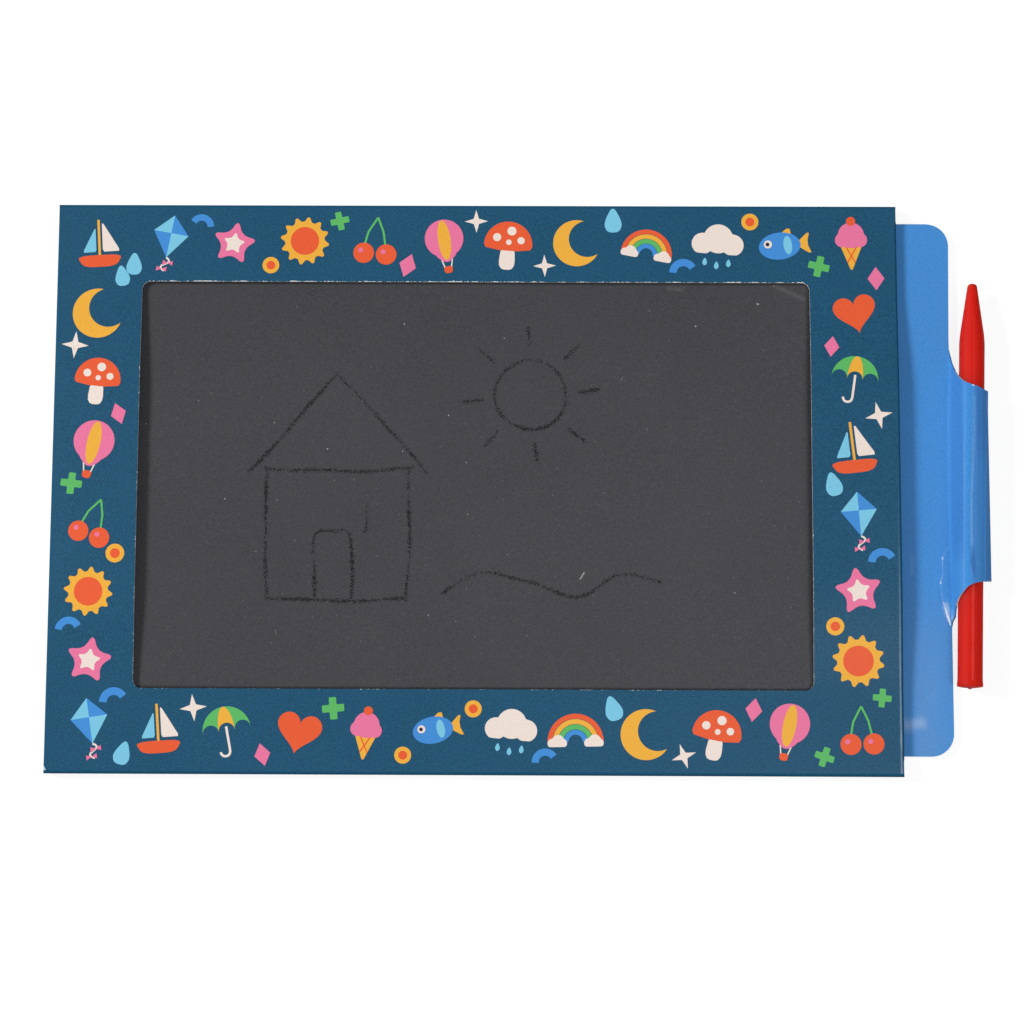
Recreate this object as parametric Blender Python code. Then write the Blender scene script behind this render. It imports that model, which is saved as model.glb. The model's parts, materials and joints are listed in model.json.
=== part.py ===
"""Magic slate: a folded card sleeve with a window, a grey writing film, a pull-out slider card that
carries a waxed board under the film, and a stylus in the slider's wrapped pen loop.

Metres, +Z up. The slate lies on its back. The origin is the middle of the sleeve's back face,
+X runs towards the sleeve's open mouth and +Y towards the top of the window.
"""

import math

import bmesh
import bpy

# Thickness of each sheet
SLEEVE_CARD = 0.00045
SLIDER_CARD = 0.00040
WAX_BOARD = 0.00040
FILM = 0.00012
ADHESIVE = 0.00008
FILM_TAPE = 0.00006

# Clearances
LAYER_GAP = 0.00005     # between layers that are glued or trapped together
RUN_GAP = 0.00012       # between layers that slide on each other
PEN_GAP = 0.00020       # round the widest part of the stylus, inside its loop
EDGE_GAP = 0.0010       # between the edges of flaps that share a layer
EDGE_SETBACK = 0.0005   # back panel's cut edges, inside the sleeve's folded outline
GLUE_MARGIN = 0.0015    # bare rim of card round a patch of adhesive

# Sleeve: one printed card blank, folded round the slider and glued
SLEEVE_LENGTH = 0.200
SLEEVE_HEIGHT = 0.1355
FOLD_INNER = 0.0003     # inside radius of the spine folds
SEAM_FLAP = 0.015       # glued inside the back panel, along its lower edge
END_FLAP = 0.013        # closes the end opposite the mouth
MOUTH_HEM = 0.010       # front panel's folded edge at the mouth
BACK_LIP = 0.012        # back panel's folded edge at the mouth, which stops the slider
FLAP_INSET = 0.003      # from a panel's corner to the root of a flap
FLAP_TAPER = 0.002      # slant at the ends of a flap
FLAP_SLIT = 0.0001      # relief between a flap's root and the panel's corner

# Window in the front panel
BORDER_LEFT = 0.0204
BORDER_RIGHT = 0.0208
BORDER_TOP = 0.01875
BORDER_BOTTOM = 0.01985
WINDOW_CORNER = 0.0020

# Writing film
FILM_OVERLAP = 0.0080   # film behind the borders above and below the window
FILM_END = 0.0060       # from the sleeve's closed end to the film's taped edge
FILM_TUCK = 0.0030      # from the mouth to the film's edge inside the hem
FILM_FLAT = 0.0014      # flat film behind the border before it rises
TAPE_END = 0.0016       # from the sleeve's closed end to the tape's edge
TAPE_REACH = 0.0055     # tape on the film

# Slider card, with its tab and pen loop
SLIDER_PLAY_TOP = 0.0035
SLIDER_PLAY_BOTTOM = 0.0043
SLIDER_HEM = 0.0080     # folded under the inner end, catches on the back panel's lip
HEM_CLEAR = 0.0040      # from the seam flap's edge to the end of the slider's hem
TAB_REACH = 0.0122      # tab's edge beyond the mouth
TAB_CORNER = 0.0053
BOARD_MARGIN = 0.0010   # rim of slider card round the waxed board
BOARD_FROM_MOUTH = 0.0120
LOOP_HEIGHT = 0.0454
LOOP_CENTRE_Y = 0.0008
LOOP_FILLET = 0.0120    # where the loop's strip leaves the tab
LOOP_TAIL = 0.0017      # from the stylus's side to the loop's outer fold
LOOP_FLAP = 0.0090      # glued under the tab, measured from the tab's edge
CREASE_BOW = 0.0010     # how far the loop's root crease bows into the tab
CREASE_RADIUS = 0.0006
LOOP_CREASE = 0.0016    # soft creases on both sides of the loop's flat top
LOOP_SHOULDER = math.radians(20)    # slope of the strip beyond the flat top
LOOP_BEND = 0.0030      # bend from that slope down to the outer fold
HAIRPIN_INNER = 0.0001  # inside radius of the loop's outer fold
RISE_ANGLE = math.radians(20)
RISE_RADIUS = 0.0015    # bends that lift the loop's flap up to the tab

# Stylus
STYLUS_LENGTH = 0.0962
STYLUS_DIAMETER = 0.00597   # at the shoulder, the shaft's thick end
FOOT_DIAMETER = 0.00582     # where the shaft meets the butt, thinner by the mould's draft
STYLUS_TAB_GAP = 0.0016     # from the tab's edge to the stylus's side
STYLUS_CENTRE_Y = 0.00073
STYLUS_TILT = math.radians(1.42)
BUTT_DIAMETER = 0.00606
BUTT_FLARE = 0.0026
BUTT_ROUND = 0.0003
BUTT_DOME = 0.0003
NUB_DIAMETER = 0.0008
NUB_LENGTH = 0.0002
TAPER_LENGTH = 0.0135
SHOULDER = 0.0034           # rounded run where the taper leaves the shaft
TIP_DIAMETER = 0.0023
TIP_LENGTH = 0.0008

# Facets
QUARTER_STEPS = 4
HEM_STEPS = 6
BEND_STEPS = 6
CORNER_STEPS = 8
LOOP_COLUMNS = 20
STYLUS_SIDES = 28
WELD = 1e-6

# Levels of the layers, from the table up
GLUE_STACK = LAYER_GAP + ADHESIVE + LAYER_GAP
FLAP_BOTTOM = SLEEVE_CARD + GLUE_STACK
FLAP_TOP = FLAP_BOTTOM + SLEEVE_CARD
SLIDER_BOTTOM = FLAP_TOP + RUN_GAP
SLIDER_TOP = SLIDER_BOTTOM + SLIDER_CARD
BOARD_BOTTOM = SLIDER_TOP + GLUE_STACK
BOARD_TOP = BOARD_BOTTOM + WAX_BOARD
HEM_BOTTOM = BOARD_TOP + RUN_GAP
HEM_TOP = HEM_BOTTOM + SLEEVE_CARD
FILM_LOW = BOARD_TOP + RUN_GAP
FILM_HIGH = HEM_TOP + LAYER_GAP
FRONT_BOTTOM = FILM_HIGH + FILM + LAYER_GAP
FRONT_TOP = FRONT_BOTTOM + SLEEVE_CARD
BACK_MID = SLEEVE_CARD / 2
FLAP_MID = FLAP_BOTTOM + SLEEVE_CARD / 2
HEM_MID = HEM_BOTTOM + SLEEVE_CARD / 2
FRONT_MID = FRONT_BOTTOM + SLEEVE_CARD / 2
SLIDER_MID = SLIDER_BOTTOM + SLIDER_CARD / 2

# Plan of the sleeve
MOUTH_X = SLEEVE_LENGTH / 2
END_X = -SLEEVE_LENGTH / 2
TOP_Y = SLEEVE_HEIGHT / 2
BOTTOM_Y = -SLEEVE_HEIGHT / 2
SPINE_MID = FOLD_INNER + SLEEVE_CARD / 2
SPINE_OUTER = FOLD_INNER + SLEEVE_CARD
HEM_RADIUS = (FRONT_MID - HEM_MID) / 2
LIP_RADIUS = (FLAP_MID - BACK_MID) / 2
HEM_START = MOUTH_X - HEM_RADIUS - SLEEVE_CARD / 2
LIP_START = MOUTH_X - LIP_RADIUS - SLEEVE_CARD / 2
END_START = END_X + SPINE_OUTER
QUARTER = SPINE_MID * math.pi / 2
WINDOW_LEFT = END_X + BORDER_LEFT
WINDOW_RIGHT = MOUTH_X - BORDER_RIGHT
WINDOW_TOP = TOP_Y - BORDER_TOP
WINDOW_BOTTOM = BOTTOM_Y + BORDER_BOTTOM
LIP_EDGE = MOUTH_X - BACK_LIP
FLAP_EDGE_Y = BOTTOM_Y + SEAM_FLAP
END_FLAP_EDGE = END_X + END_FLAP

# Plan of the slider
SLIDER_END = END_FLAP_EDGE + EDGE_GAP
SLIDER_HEM_MID = SLEEVE_CARD + RUN_GAP + SLIDER_CARD / 2
SLIDER_HEM_RADIUS = (SLIDER_MID - SLIDER_HEM_MID) / 2
SLIDER_START = SLIDER_END + SLIDER_HEM_RADIUS + SLIDER_CARD / 2
SLIDER_HEM_EDGE = SLIDER_END + SLIDER_HEM
SLIDER_HIGH_Y = TOP_Y - SLEEVE_CARD - SLIDER_PLAY_TOP
SLIDER_LOW_Y = BOTTOM_Y + SLEEVE_CARD + SLIDER_PLAY_BOTTOM
HEM_HIGH_Y = SLIDER_HIGH_Y - HEM_CLEAR
HEM_LOW_Y = FLAP_EDGE_Y + HEM_CLEAR
TAB_X = MOUTH_X + TAB_REACH
LOOP_HIGH_Y = LOOP_CENTRE_Y + LOOP_HEIGHT / 2
LOOP_LOW_Y = LOOP_CENTRE_Y - LOOP_HEIGHT / 2

# Stylus axis, lying in the loop
STYLUS_RADIUS = STYLUS_DIAMETER / 2
STYLUS_X = TAB_X + STYLUS_TAB_GAP + STYLUS_RADIUS
STYLUS_Z = SLIDER_CARD + PEN_GAP + BUTT_DIAMETER / 2
LOOP_FOLD_X = STYLUS_X + STYLUS_RADIUS + LOOP_TAIL


def clear_scene():
    for scene_object in list(bpy.data.objects):
        bpy.data.objects.remove(scene_object)


def plain_material(name, colour, roughness):
    made = bpy.data.materials.new(name)
    made.use_nodes = True
    shader = made.node_tree.nodes["Principled BSDF"]
    shader.inputs["Base Color"].default_value = (*colour, 1.0)
    shader.inputs["Roughness"].default_value = roughness
    shader.inputs["Metallic"].default_value = 0.0
    made.diffuse_color = (*colour, 1.0)
    return made


def add_object(name, mesh_builder, surface):
    mesh = bpy.data.meshes.new(name)
    mesh_builder.to_mesh(mesh)
    mesh_builder.free()
    mesh.materials.append(surface)
    made = bpy.data.objects.new(name, mesh)
    bpy.context.scene.collection.objects.link(made)
    return made


def add_sheet(name, mesh_builder, thickness, surface):
    """A sheet modelled as its middle surface, given its thickness evenly on both sides."""
    bmesh.ops.remove_doubles(mesh_builder, verts=mesh_builder.verts, dist=WELD)
    bmesh.ops.recalc_face_normals(mesh_builder, faces=mesh_builder.faces)
    sheet = add_object(name, mesh_builder, surface)
    solidify = sheet.modifiers.new("card thickness", "SOLIDIFY")
    solidify.thickness = thickness
    solidify.offset = 0.0
    solidify.use_even_offset = True
    solidify.use_quality_normals = True
    return sheet


def add_flat_strip(name, low, high, surface):
    """A flat rectangular strip or board between two corners."""
    builder = bmesh.new()
    outline = [(low[0], low[1]), (high[0], low[1]), (high[0], high[1]), (low[0], high[1])]
    base = builder.faces.new([builder.verts.new((x, y, low[2])) for x, y in outline])
    raised = bmesh.ops.extrude_face_region(builder, geom=[base])["geom"]
    lifted = [item for item in raised if isinstance(item, bmesh.types.BMVert)]
    bmesh.ops.translate(builder, verts=lifted, vec=(0, 0, high[2] - low[2]))
    bmesh.ops.recalc_face_normals(builder, faces=builder.faces)
    return add_object(name, builder, surface)


def add_panel(builder, outline):
    """One flat panel of a card blank; shared corners are welded afterwards."""
    return builder.faces.new([builder.verts.new((u, v, 0)) for u, v in outline])


def add_rows(builder, rows):
    """A strip of quads through rows of vertices, each row as long as the next."""
    for row, following in zip(rows, rows[1:]):
        for index in range(len(row) - 1):
            corners = (row[index], row[index + 1], following[index + 1], following[index])
            builder.faces.new(corners)


def steps_between(start, end, count):
    """Evenly spaced values from start to end, both included."""
    return [start + (end - start) * step / count for step in range(count + 1)]


def arc(centre, radius, start, end, count):
    """Points of an arc in a plane, from one angle to the other."""
    return [(centre[0] + radius * math.cos(angle), centre[1] + radius * math.sin(angle))
            for angle in steps_between(start, end, count)]


def rounded_corner(corner_x, corner_y, inward_x, inward_y, radius, start):
    """A quarter round at a corner, turning left from the given start angle."""
    centre = (corner_x + inward_x * radius, corner_y + inward_y * radius)
    return arc(centre, radius, start, start + math.pi / 2, CORNER_STEPS)


# Sleeve: distances along the blank, from the back panel's free edge round to the seam flap
BACK_RUN = SLEEVE_HEIGHT - SPINE_OUTER - EDGE_SETBACK
TOP_SPINE_RUN = FRONT_MID - BACK_MID - 2 * SPINE_MID
FRONT_RUN = SLEEVE_HEIGHT - 2 * SPINE_OUTER
LOW_SPINE_RUN = FRONT_MID - FLAP_MID - 2 * SPINE_MID
FLAP_RUN = SEAM_FLAP - SPINE_OUTER
FRONT_FROM = BACK_RUN + QUARTER + TOP_SPINE_RUN + QUARTER
FRONT_TO = FRONT_FROM + FRONT_RUN
FLAP_FROM = FRONT_TO + QUARTER + LOW_SPINE_RUN + QUARTER
FLAP_TO = FLAP_FROM + FLAP_RUN
HEM_TO = HEM_START + math.pi * HEM_RADIUS + MOUTH_HEM - (MOUTH_X - HEM_START)
LIP_TO = LIP_START + math.pi * LIP_RADIUS + BACK_LIP - (MOUTH_X - LIP_START)
END_FLAP_TO = END_START - (2 * QUARTER + LOW_SPINE_RUN + END_FLAP - SPINE_OUTER)


def wrapped(v, depth):
    """Place (y, z) at distance v along the blank, moved inwards by depth."""
    y, z, heading = BOTTOM_Y + EDGE_SETBACK, BACK_MID, 0.0
    for run in (BACK_RUN, TOP_SPINE_RUN, FRONT_RUN, LOW_SPINE_RUN, FLAP_RUN):
        along = min(v, run)
        y, z = y + along * math.cos(heading), z + along * math.sin(heading)
        v -= run
        if v <= 0:
            break
        turn = min(v, QUARTER) / SPINE_MID
        y += SPINE_MID * (math.sin(heading + turn) - math.sin(heading))
        z += SPINE_MID * (math.cos(heading) - math.cos(heading + turn))
        heading += turn
        v -= QUARTER
        if v <= 0:
            break
    return y - depth * math.sin(heading), z + depth * math.cos(heading)


def hemmed(u, start, radius):
    """Place (x, depth) on a panel whose edge folds inwards and back on itself past start."""
    past = max(u - start, 0.0)
    turn = min(past / radius, math.pi)
    flat = past - radius * turn
    return min(u, start) + radius * math.sin(turn) - flat, radius * (1 - math.cos(turn))


def end_folded(u):
    """Place (x, depth) on the front panel's closed end: down its spine, then in as a flap."""
    past = max(END_START - u, 0.0)
    first = min(past / SPINE_MID, math.pi / 2)
    spine = min(max(past - QUARTER, 0.0), LOW_SPINE_RUN)
    second = min(max(past - QUARTER - LOW_SPINE_RUN, 0.0) / SPINE_MID, math.pi / 2)
    flat = max(past - 2 * QUARTER - LOW_SPINE_RUN, 0.0)
    x = max(u, END_START) - SPINE_MID * math.sin(first) + SPINE_MID * (1 - math.cos(second)) + flat
    return x, SPINE_MID * (1 - math.cos(first)) + spine + SPINE_MID * math.sin(second)


def beside_flap(v, low, high):
    """Whether v lies between a panel's corners, where the panel's ends carry a flap."""
    return low + FLAP_INSET - WELD <= v <= high - FLAP_INSET + WELD


def folded(u, v):
    """Where a point of the flat sleeve blank lies once the sleeve is folded."""
    x, depth = u, 0.0
    if beside_flap(v, 0.0, BACK_RUN):
        x, depth = hemmed(u, LIP_START, LIP_RADIUS)
    elif beside_flap(v, FRONT_FROM, FRONT_TO):
        x, depth = end_folded(u) if u < END_START else hemmed(u, HEM_START, HEM_RADIUS)
    y, z = wrapped(v, depth)
    return x, y, z


def side_flap(root, edge, low, high):
    """Outline of a flap whose ends slant in from its root to its free edge."""
    return [(root, low), (edge, low + FLAP_TAPER), (edge, high - FLAP_TAPER), (root, high)]


def notched_edge(edge, flap, low, high):
    """A panel's edge from corner to corner, set back between two slits to the root of its flap."""
    return [(edge, low), (edge, flap[0][1] - FLAP_SLIT), flap[0], flap[3],
            (edge, flap[3][1] + FLAP_SLIT), (edge, high)]


def sleeve_blank():
    """The sleeve's flat blank, cut into panels along every fold."""
    builder = bmesh.new()
    back_left = END_X + EDGE_SETBACK
    lip = side_flap(LIP_START, LIP_TO, FLAP_INSET, BACK_RUN - FLAP_INSET)
    hem = side_flap(HEM_START, HEM_TO, FRONT_FROM + FLAP_INSET, FRONT_TO - FLAP_INSET)
    end = side_flap(END_START, END_FLAP_TO, FRONT_FROM + FLAP_INSET, FRONT_TO - FLAP_INSET)
    seam_left = END_FLAP_EDGE + EDGE_GAP
    seam_right = LIP_EDGE - EDGE_GAP
    mouth_edge = notched_edge(MOUTH_X, hem, FRONT_FROM, FRONT_TO)
    end_edge = notched_edge(END_X, end, FRONT_FROM, FRONT_TO)
    add_panel(builder, [(back_left, 0)] + notched_edge(MOUTH_X, lip, 0, BACK_RUN)
              + [(back_left, BACK_RUN)])
    add_panel(builder, [(back_left, BACK_RUN), (MOUTH_X, BACK_RUN),
                        (MOUTH_X, FRONT_FROM), (END_X, FRONT_FROM)])
    add_panel(builder, mouth_edge + end_edge[::-1])
    add_panel(builder, [(END_X, FRONT_TO), (MOUTH_X, FRONT_TO), (MOUTH_X, FLAP_FROM),
                        (seam_right, FLAP_FROM), (seam_left, FLAP_FROM), (END_X, FLAP_FROM)])
    add_panel(builder, [(seam_left, FLAP_FROM), (seam_right, FLAP_FROM),
                        (seam_right - FLAP_TAPER, FLAP_TO), (seam_left + FLAP_TAPER, FLAP_TO)])
    for flap in (lip, hem, end):
        add_panel(builder, flap)
    bmesh.ops.remove_doubles(builder, verts=builder.verts, dist=WELD)
    return builder


def score(builder, axis, places):
    """Cuts a flat blank into narrow strips, so that it can be rolled round its folds."""
    for place in places:
        everything = builder.verts[:] + builder.edges[:] + builder.faces[:]
        point = [place if index == axis else 0.0 for index in range(3)]
        normal = [1.0 if index == axis else 0.0 for index in range(3)]
        bmesh.ops.bisect_plane(builder, geom=everything, dist=WELD / 10, plane_co=point,
                               plane_no=normal)


def window_cutter():
    """A rounded block that cuts the window through the front panel alone."""
    outline = rounded_corner(WINDOW_RIGHT, WINDOW_BOTTOM, -1, 1, WINDOW_CORNER, -math.pi / 2)
    outline += rounded_corner(WINDOW_RIGHT, WINDOW_TOP, -1, -1, WINDOW_CORNER, 0.0)
    outline += rounded_corner(WINDOW_LEFT, WINDOW_TOP, 1, -1, WINDOW_CORNER, math.pi / 2)
    outline += rounded_corner(WINDOW_LEFT, WINDOW_BOTTOM, 1, 1, WINDOW_CORNER, math.pi)
    builder = bmesh.new()
    low, high = HEM_BOTTOM, FRONT_TOP + SLEEVE_CARD
    base = builder.faces.new([builder.verts.new((x, y, low)) for x, y in outline])
    raised = bmesh.ops.extrude_face_region(builder, geom=[base])["geom"]
    lifted = [item for item in raised if isinstance(item, bmesh.types.BMVert)]
    bmesh.ops.translate(builder, verts=lifted, vec=(0, 0, high - low))
    bmesh.ops.recalc_face_normals(builder, faces=builder.faces)
    cutter = add_object("window_cutter", builder, CARD_EDGE)
    cutter.hide_render = True
    cutter.display_type = "WIRE"
    return cutter


def make_sleeve():
    builder = sleeve_blank()
    spine_folds = [BACK_RUN, BACK_RUN + QUARTER + TOP_SPINE_RUN,
                   FRONT_TO, FRONT_TO + QUARTER + LOW_SPINE_RUN]
    for fold in spine_folds:
        score(builder, 1, steps_between(fold, fold + QUARTER, QUARTER_STEPS))
    score(builder, 0, steps_between(HEM_START, HEM_START + math.pi * HEM_RADIUS, HEM_STEPS))
    score(builder, 0, steps_between(LIP_START, LIP_START + math.pi * LIP_RADIUS, HEM_STEPS))
    for fold in (END_START, END_START - QUARTER - LOW_SPINE_RUN):
        score(builder, 0, steps_between(fold, fold - QUARTER, QUARTER_STEPS))
    for vertex in builder.verts:
        vertex.co = folded(vertex.co.x, vertex.co.y)
    sleeve = add_sheet("sleeve", builder, SLEEVE_CARD, TEAL_CARD)
    cut = sleeve.modifiers.new("window", "BOOLEAN")
    cut.operation = "DIFFERENCE"
    cut.solver = "EXACT"
    cut.object = window_cutter()
    return sleeve


def make_sleeve_adhesive():
    """Strips that hold the sleeve's seam flap, end flap and mouth lip to its back panel."""
    low, high = SLEEVE_CARD + LAYER_GAP, SLEEVE_CARD + LAYER_GAP + ADHESIVE
    bevel = FLAP_TAPER + GLUE_MARGIN
    add_flat_strip("seam_adhesive",
                   (END_FLAP_EDGE + EDGE_GAP + bevel, BOTTOM_Y + SPINE_OUTER + GLUE_MARGIN, low),
                   (LIP_EDGE - EDGE_GAP - bevel, FLAP_EDGE_Y - GLUE_MARGIN, high), GLUE)
    flap_low = BOTTOM_Y + SPINE_OUTER + FLAP_INSET + bevel
    flap_high = TOP_Y - SPINE_OUTER - FLAP_INSET - bevel
    add_flat_strip("end_flap_adhesive", (END_START + GLUE_MARGIN, flap_low, low),
                   (END_FLAP_EDGE - GLUE_MARGIN, flap_high, high), GLUE)
    add_flat_strip("mouth_lip_adhesive", (LIP_EDGE + GLUE_MARGIN, flap_low, low),
                   (LIP_START - GLUE_MARGIN, flap_high, high), GLUE)


def rise(start_x, end_x, start_z, end_z, count):
    """Points of a soft S between two levels."""
    points = []
    for share in steps_between(0.0, 1.0, count):
        eased = share * share * (3 - 2 * share)
        points.append((start_x + (end_x - start_x) * share, start_z + (end_z - start_z) * eased))
    return points


def make_writing_film():
    """Film that lies on the waxed board, taped at its closed end and tucked into the mouth's hem."""
    low, high = FILM_LOW + FILM / 2, FILM_HIGH + FILM / 2
    taped = END_X + FILM_END
    tape_edge = taped + TAPE_REACH
    hem_edge = MOUTH_X - MOUTH_HEM - EDGE_GAP
    profile = [(taped, high)]
    profile += rise(tape_edge, WINDOW_LEFT - FILM_FLAT, high, low, QUARTER_STEPS)
    profile += rise(WINDOW_RIGHT + FILM_FLAT, hem_edge, low, high, QUARTER_STEPS)
    profile += [(MOUTH_X - FILM_TUCK, high)]
    low_y, high_y = WINDOW_BOTTOM - FILM_OVERLAP, WINDOW_TOP + FILM_OVERLAP
    builder = bmesh.new()
    rows = [[builder.verts.new((x, y, z)) for y in (low_y, high_y)] for x, z in profile]
    add_rows(builder, rows)
    add_sheet("writing_film", builder, FILM, GREY_FILM)
    tape_top = FILM_HIGH - LAYER_GAP
    add_flat_strip("film_tape",
                   (END_X + TAPE_END, low_y + GLUE_MARGIN, tape_top - FILM_TAPE),
                   (tape_edge, high_y - GLUE_MARGIN, tape_top), TAPE)


def nearest_to_pen(pen, reach, heading):
    """Where a straight run of strip with this heading passes closest to the pen."""
    across = heading + math.pi / 2
    return pen[0] + reach * math.cos(across), pen[1] + reach * math.sin(across)


def bend_over(pen, reach, radius, heading, next_heading):
    """Rounded bend between two straight runs of strip that both pass the pen at the same reach."""
    middle = (heading + next_heading) / 2 + math.pi / 2
    away = (reach - radius) / math.cos((heading - next_heading) / 2)
    centre = (pen[0] + away * math.cos(middle), pen[1] + away * math.sin(middle))
    return arc(centre, radius, heading + math.pi / 2, next_heading + math.pi / 2, BEND_STEPS)


def loop_section():
    """Middle section of the pen loop, from the tab's crease over the stylus to the glued flap.

    Each entry is (x, z, lean, bow): lean is how far the place follows the stylus's tilt, and bow
    how far it follows the bowed crease, both from 0 to 1.
    """
    reach = BUTT_DIAMETER / 2 + PEN_GAP + SLIDER_CARD / 2
    hairpin = HAIRPIN_INNER + SLIDER_CARD / 2
    crease = (TAB_X - CREASE_BOW, SLIDER_MID + CREASE_RADIUS)
    pen = (STYLUS_X, STYLUS_Z)
    fold = (LOOP_FOLD_X - hairpin - SLIDER_CARD / 2, hairpin + SLIDER_CARD / 2)

    across, up = pen[0] - crease[0], pen[1] - crease[1]
    climb = math.atan2(up, across) + math.asin((reach + CREASE_RADIUS) / math.hypot(across, up))
    across, up = fold[0] - pen[0], fold[1] - pen[1]
    fall = math.atan2(up, across) - math.asin((reach - hairpin) / math.hypot(across, up))

    quarter = math.pi / 2
    section = []
    root = arc(crease, CREASE_RADIUS, -quarter, climb - quarter, QUARTER_STEPS)
    over = [nearest_to_pen(pen, reach, climb)]
    over += bend_over(pen, reach, LOOP_CREASE, climb, 0.0)
    over += bend_over(pen, reach, LOOP_CREASE, 0.0, -LOOP_SHOULDER)
    over += bend_over(pen, reach, LOOP_BEND, -LOOP_SHOULDER, fall)
    over += [nearest_to_pen(pen, reach, fall)]
    turn = arc(fold, hairpin, fall + quarter, -quarter, HEM_STEPS)
    section += [(x, z, 0.0, 1.0) for x, z in root]
    for share in steps_between(0.0, 1.0, HEM_STEPS)[1:-1]:
        section.append((root[-1][0] + (over[0][0] - root[-1][0]) * share,
                        root[-1][1] + (over[0][1] - root[-1][1]) * share, share, 1.0 - share))
    section += [(x, z, 1.0, 0.0) for x, z in over]
    for share in steps_between(0.0, 1.0, QUARTER_STEPS)[1:-1]:
        section.append((over[-1][0] + (turn[0][0] - over[-1][0]) * share,
                        over[-1][1] + (turn[0][1] - over[-1][1]) * share, 1.0 - share, 0.0))
    section += [(x, z, 0.0, 0.0) for x, z in turn]

    floor = SLIDER_CARD / 2
    flap = SLIDER_BOTTOM - GLUE_STACK - SLIDER_CARD / 2
    bend_rise = RISE_RADIUS * (1 - math.cos(RISE_ANGLE))
    ramp = (flap - floor - 2 * bend_rise) / math.tan(RISE_ANGLE)
    bend_run = RISE_RADIUS * math.sin(RISE_ANGLE)
    top_x = TAB_X - CREASE_BOW - bend_run
    first = arc((top_x + ramp + 2 * bend_run, floor + RISE_RADIUS), RISE_RADIUS,
                -quarter, -quarter - RISE_ANGLE, QUARTER_STEPS)
    second = arc((top_x, flap - RISE_RADIUS), RISE_RADIUS, quarter - RISE_ANGLE, quarter,
                 QUARTER_STEPS)
    tail = first + second + [(TAB_X - LOOP_FLAP, flap)]
    section += [(x, z, 0.0, 0.0) for x, z in tail]
    return section


def loop_rows(builder):
    """Rows of vertices of the pen loop; the first row is its bowed root crease on the tab."""
    middle = LOOP_CENTRE_Y
    half_root = LOOP_HEIGHT / 2 + LOOP_FILLET
    travelled = 0.0
    previous = None
    rows = []
    for x, z, lean, bow in loop_section():
        if previous:
            travelled += math.hypot(x - previous[0], z - previous[1])
        previous = (x, z)
        left = max(LOOP_FILLET - travelled, 0.0)
        flare = LOOP_FILLET - math.sqrt(LOOP_FILLET ** 2 - left ** 2)
        row = []
        for y in steps_between(LOOP_LOW_Y - flare, LOOP_HIGH_Y + flare, LOOP_COLUMNS):
            tilted = (y - STYLUS_CENTRE_Y) * math.tan(STYLUS_TILT) * lean
            bowed = CREASE_BOW * ((y - middle) / half_root) ** 2 * bow
            row.append(builder.verts.new((x + tilted + bowed, y, z)))
        rows.append(row)
    return rows


def make_slider_card():
    """One die-cut card: hem, body and tab, and the strip that wraps over the stylus."""
    builder = bmesh.new()
    level = SLIDER_MID
    loop = loop_rows(builder)
    hem_profile = arc((SLIDER_START, level - SLIDER_HEM_RADIUS), SLIDER_HEM_RADIUS,
                      math.pi / 2, 3 * math.pi / 2, HEM_STEPS)
    hem_profile.append((SLIDER_HEM_EDGE, SLIDER_HEM_MID))
    hem = [[builder.verts.new((x, y, z)) for y in (HEM_LOW_Y, HEM_HIGH_Y)]
           for x, z in hem_profile]

    lower = [(SLIDER_START, SLIDER_LOW_Y)]
    lower += rounded_corner(TAB_X, SLIDER_LOW_Y, -1, 1, TAB_CORNER, -math.pi / 2)
    upper = rounded_corner(TAB_X, SLIDER_HIGH_Y, -1, -1, TAB_CORNER, 0.0)
    upper += [(SLIDER_START, SLIDER_HIGH_Y)]
    outline = [builder.verts.new((x, y, level)) for x, y in lower] + loop[0]
    outline += [builder.verts.new((x, y, level)) for x, y in upper] + [hem[0][1], hem[0][0]]
    builder.faces.new(outline)
    add_rows(builder, loop)
    add_rows(builder, hem)
    return add_sheet("slider_card", builder, SLIDER_CARD, BLUE_CARD)


def make_slider_layers():
    """Waxed board on the slider, and the adhesive under it, in the hem and in the pen loop."""
    board_left = SLIDER_START + BOARD_MARGIN
    board_right = MOUTH_X - BOARD_FROM_MOUTH
    board_low, board_high = SLIDER_LOW_Y + BOARD_MARGIN, SLIDER_HIGH_Y - BOARD_MARGIN
    board = add_flat_strip("wax_board", (board_left, board_low, BOARD_BOTTOM),
                           (board_right, board_high, BOARD_TOP), BLACK_WAX)
    glue_level = SLIDER_TOP + LAYER_GAP
    sheet = add_flat_strip("board_adhesive",
                           (board_left + GLUE_MARGIN, board_low + GLUE_MARGIN, glue_level),
                           (board_right - GLUE_MARGIN, board_high - GLUE_MARGIN,
                            glue_level + ADHESIVE), GLUE)
    hem_top = SLIDER_HEM_MID + SLIDER_CARD / 2 + LAYER_GAP
    hem_strip = add_flat_strip("slider_hem_adhesive",
                               (SLIDER_START + GLUE_MARGIN, HEM_LOW_Y + GLUE_MARGIN, hem_top),
                               (SLIDER_HEM_EDGE - GLUE_MARGIN, HEM_HIGH_Y - GLUE_MARGIN,
                                SLIDER_BOTTOM - LAYER_GAP), GLUE)
    loop_glue_top = SLIDER_BOTTOM - LAYER_GAP
    crease_x = TAB_X - CREASE_BOW - RISE_RADIUS * math.sin(RISE_ANGLE)
    loop_strip = add_flat_strip("pen_loop_adhesive",
                                (TAB_X - LOOP_FLAP + GLUE_MARGIN, LOOP_LOW_Y + GLUE_MARGIN,
                                 loop_glue_top - ADHESIVE),
                                (crease_x - GLUE_MARGIN, LOOP_HIGH_Y - GLUE_MARGIN,
                                 loop_glue_top), GLUE)
    return [board, sheet, hem_strip, loop_strip]


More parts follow.
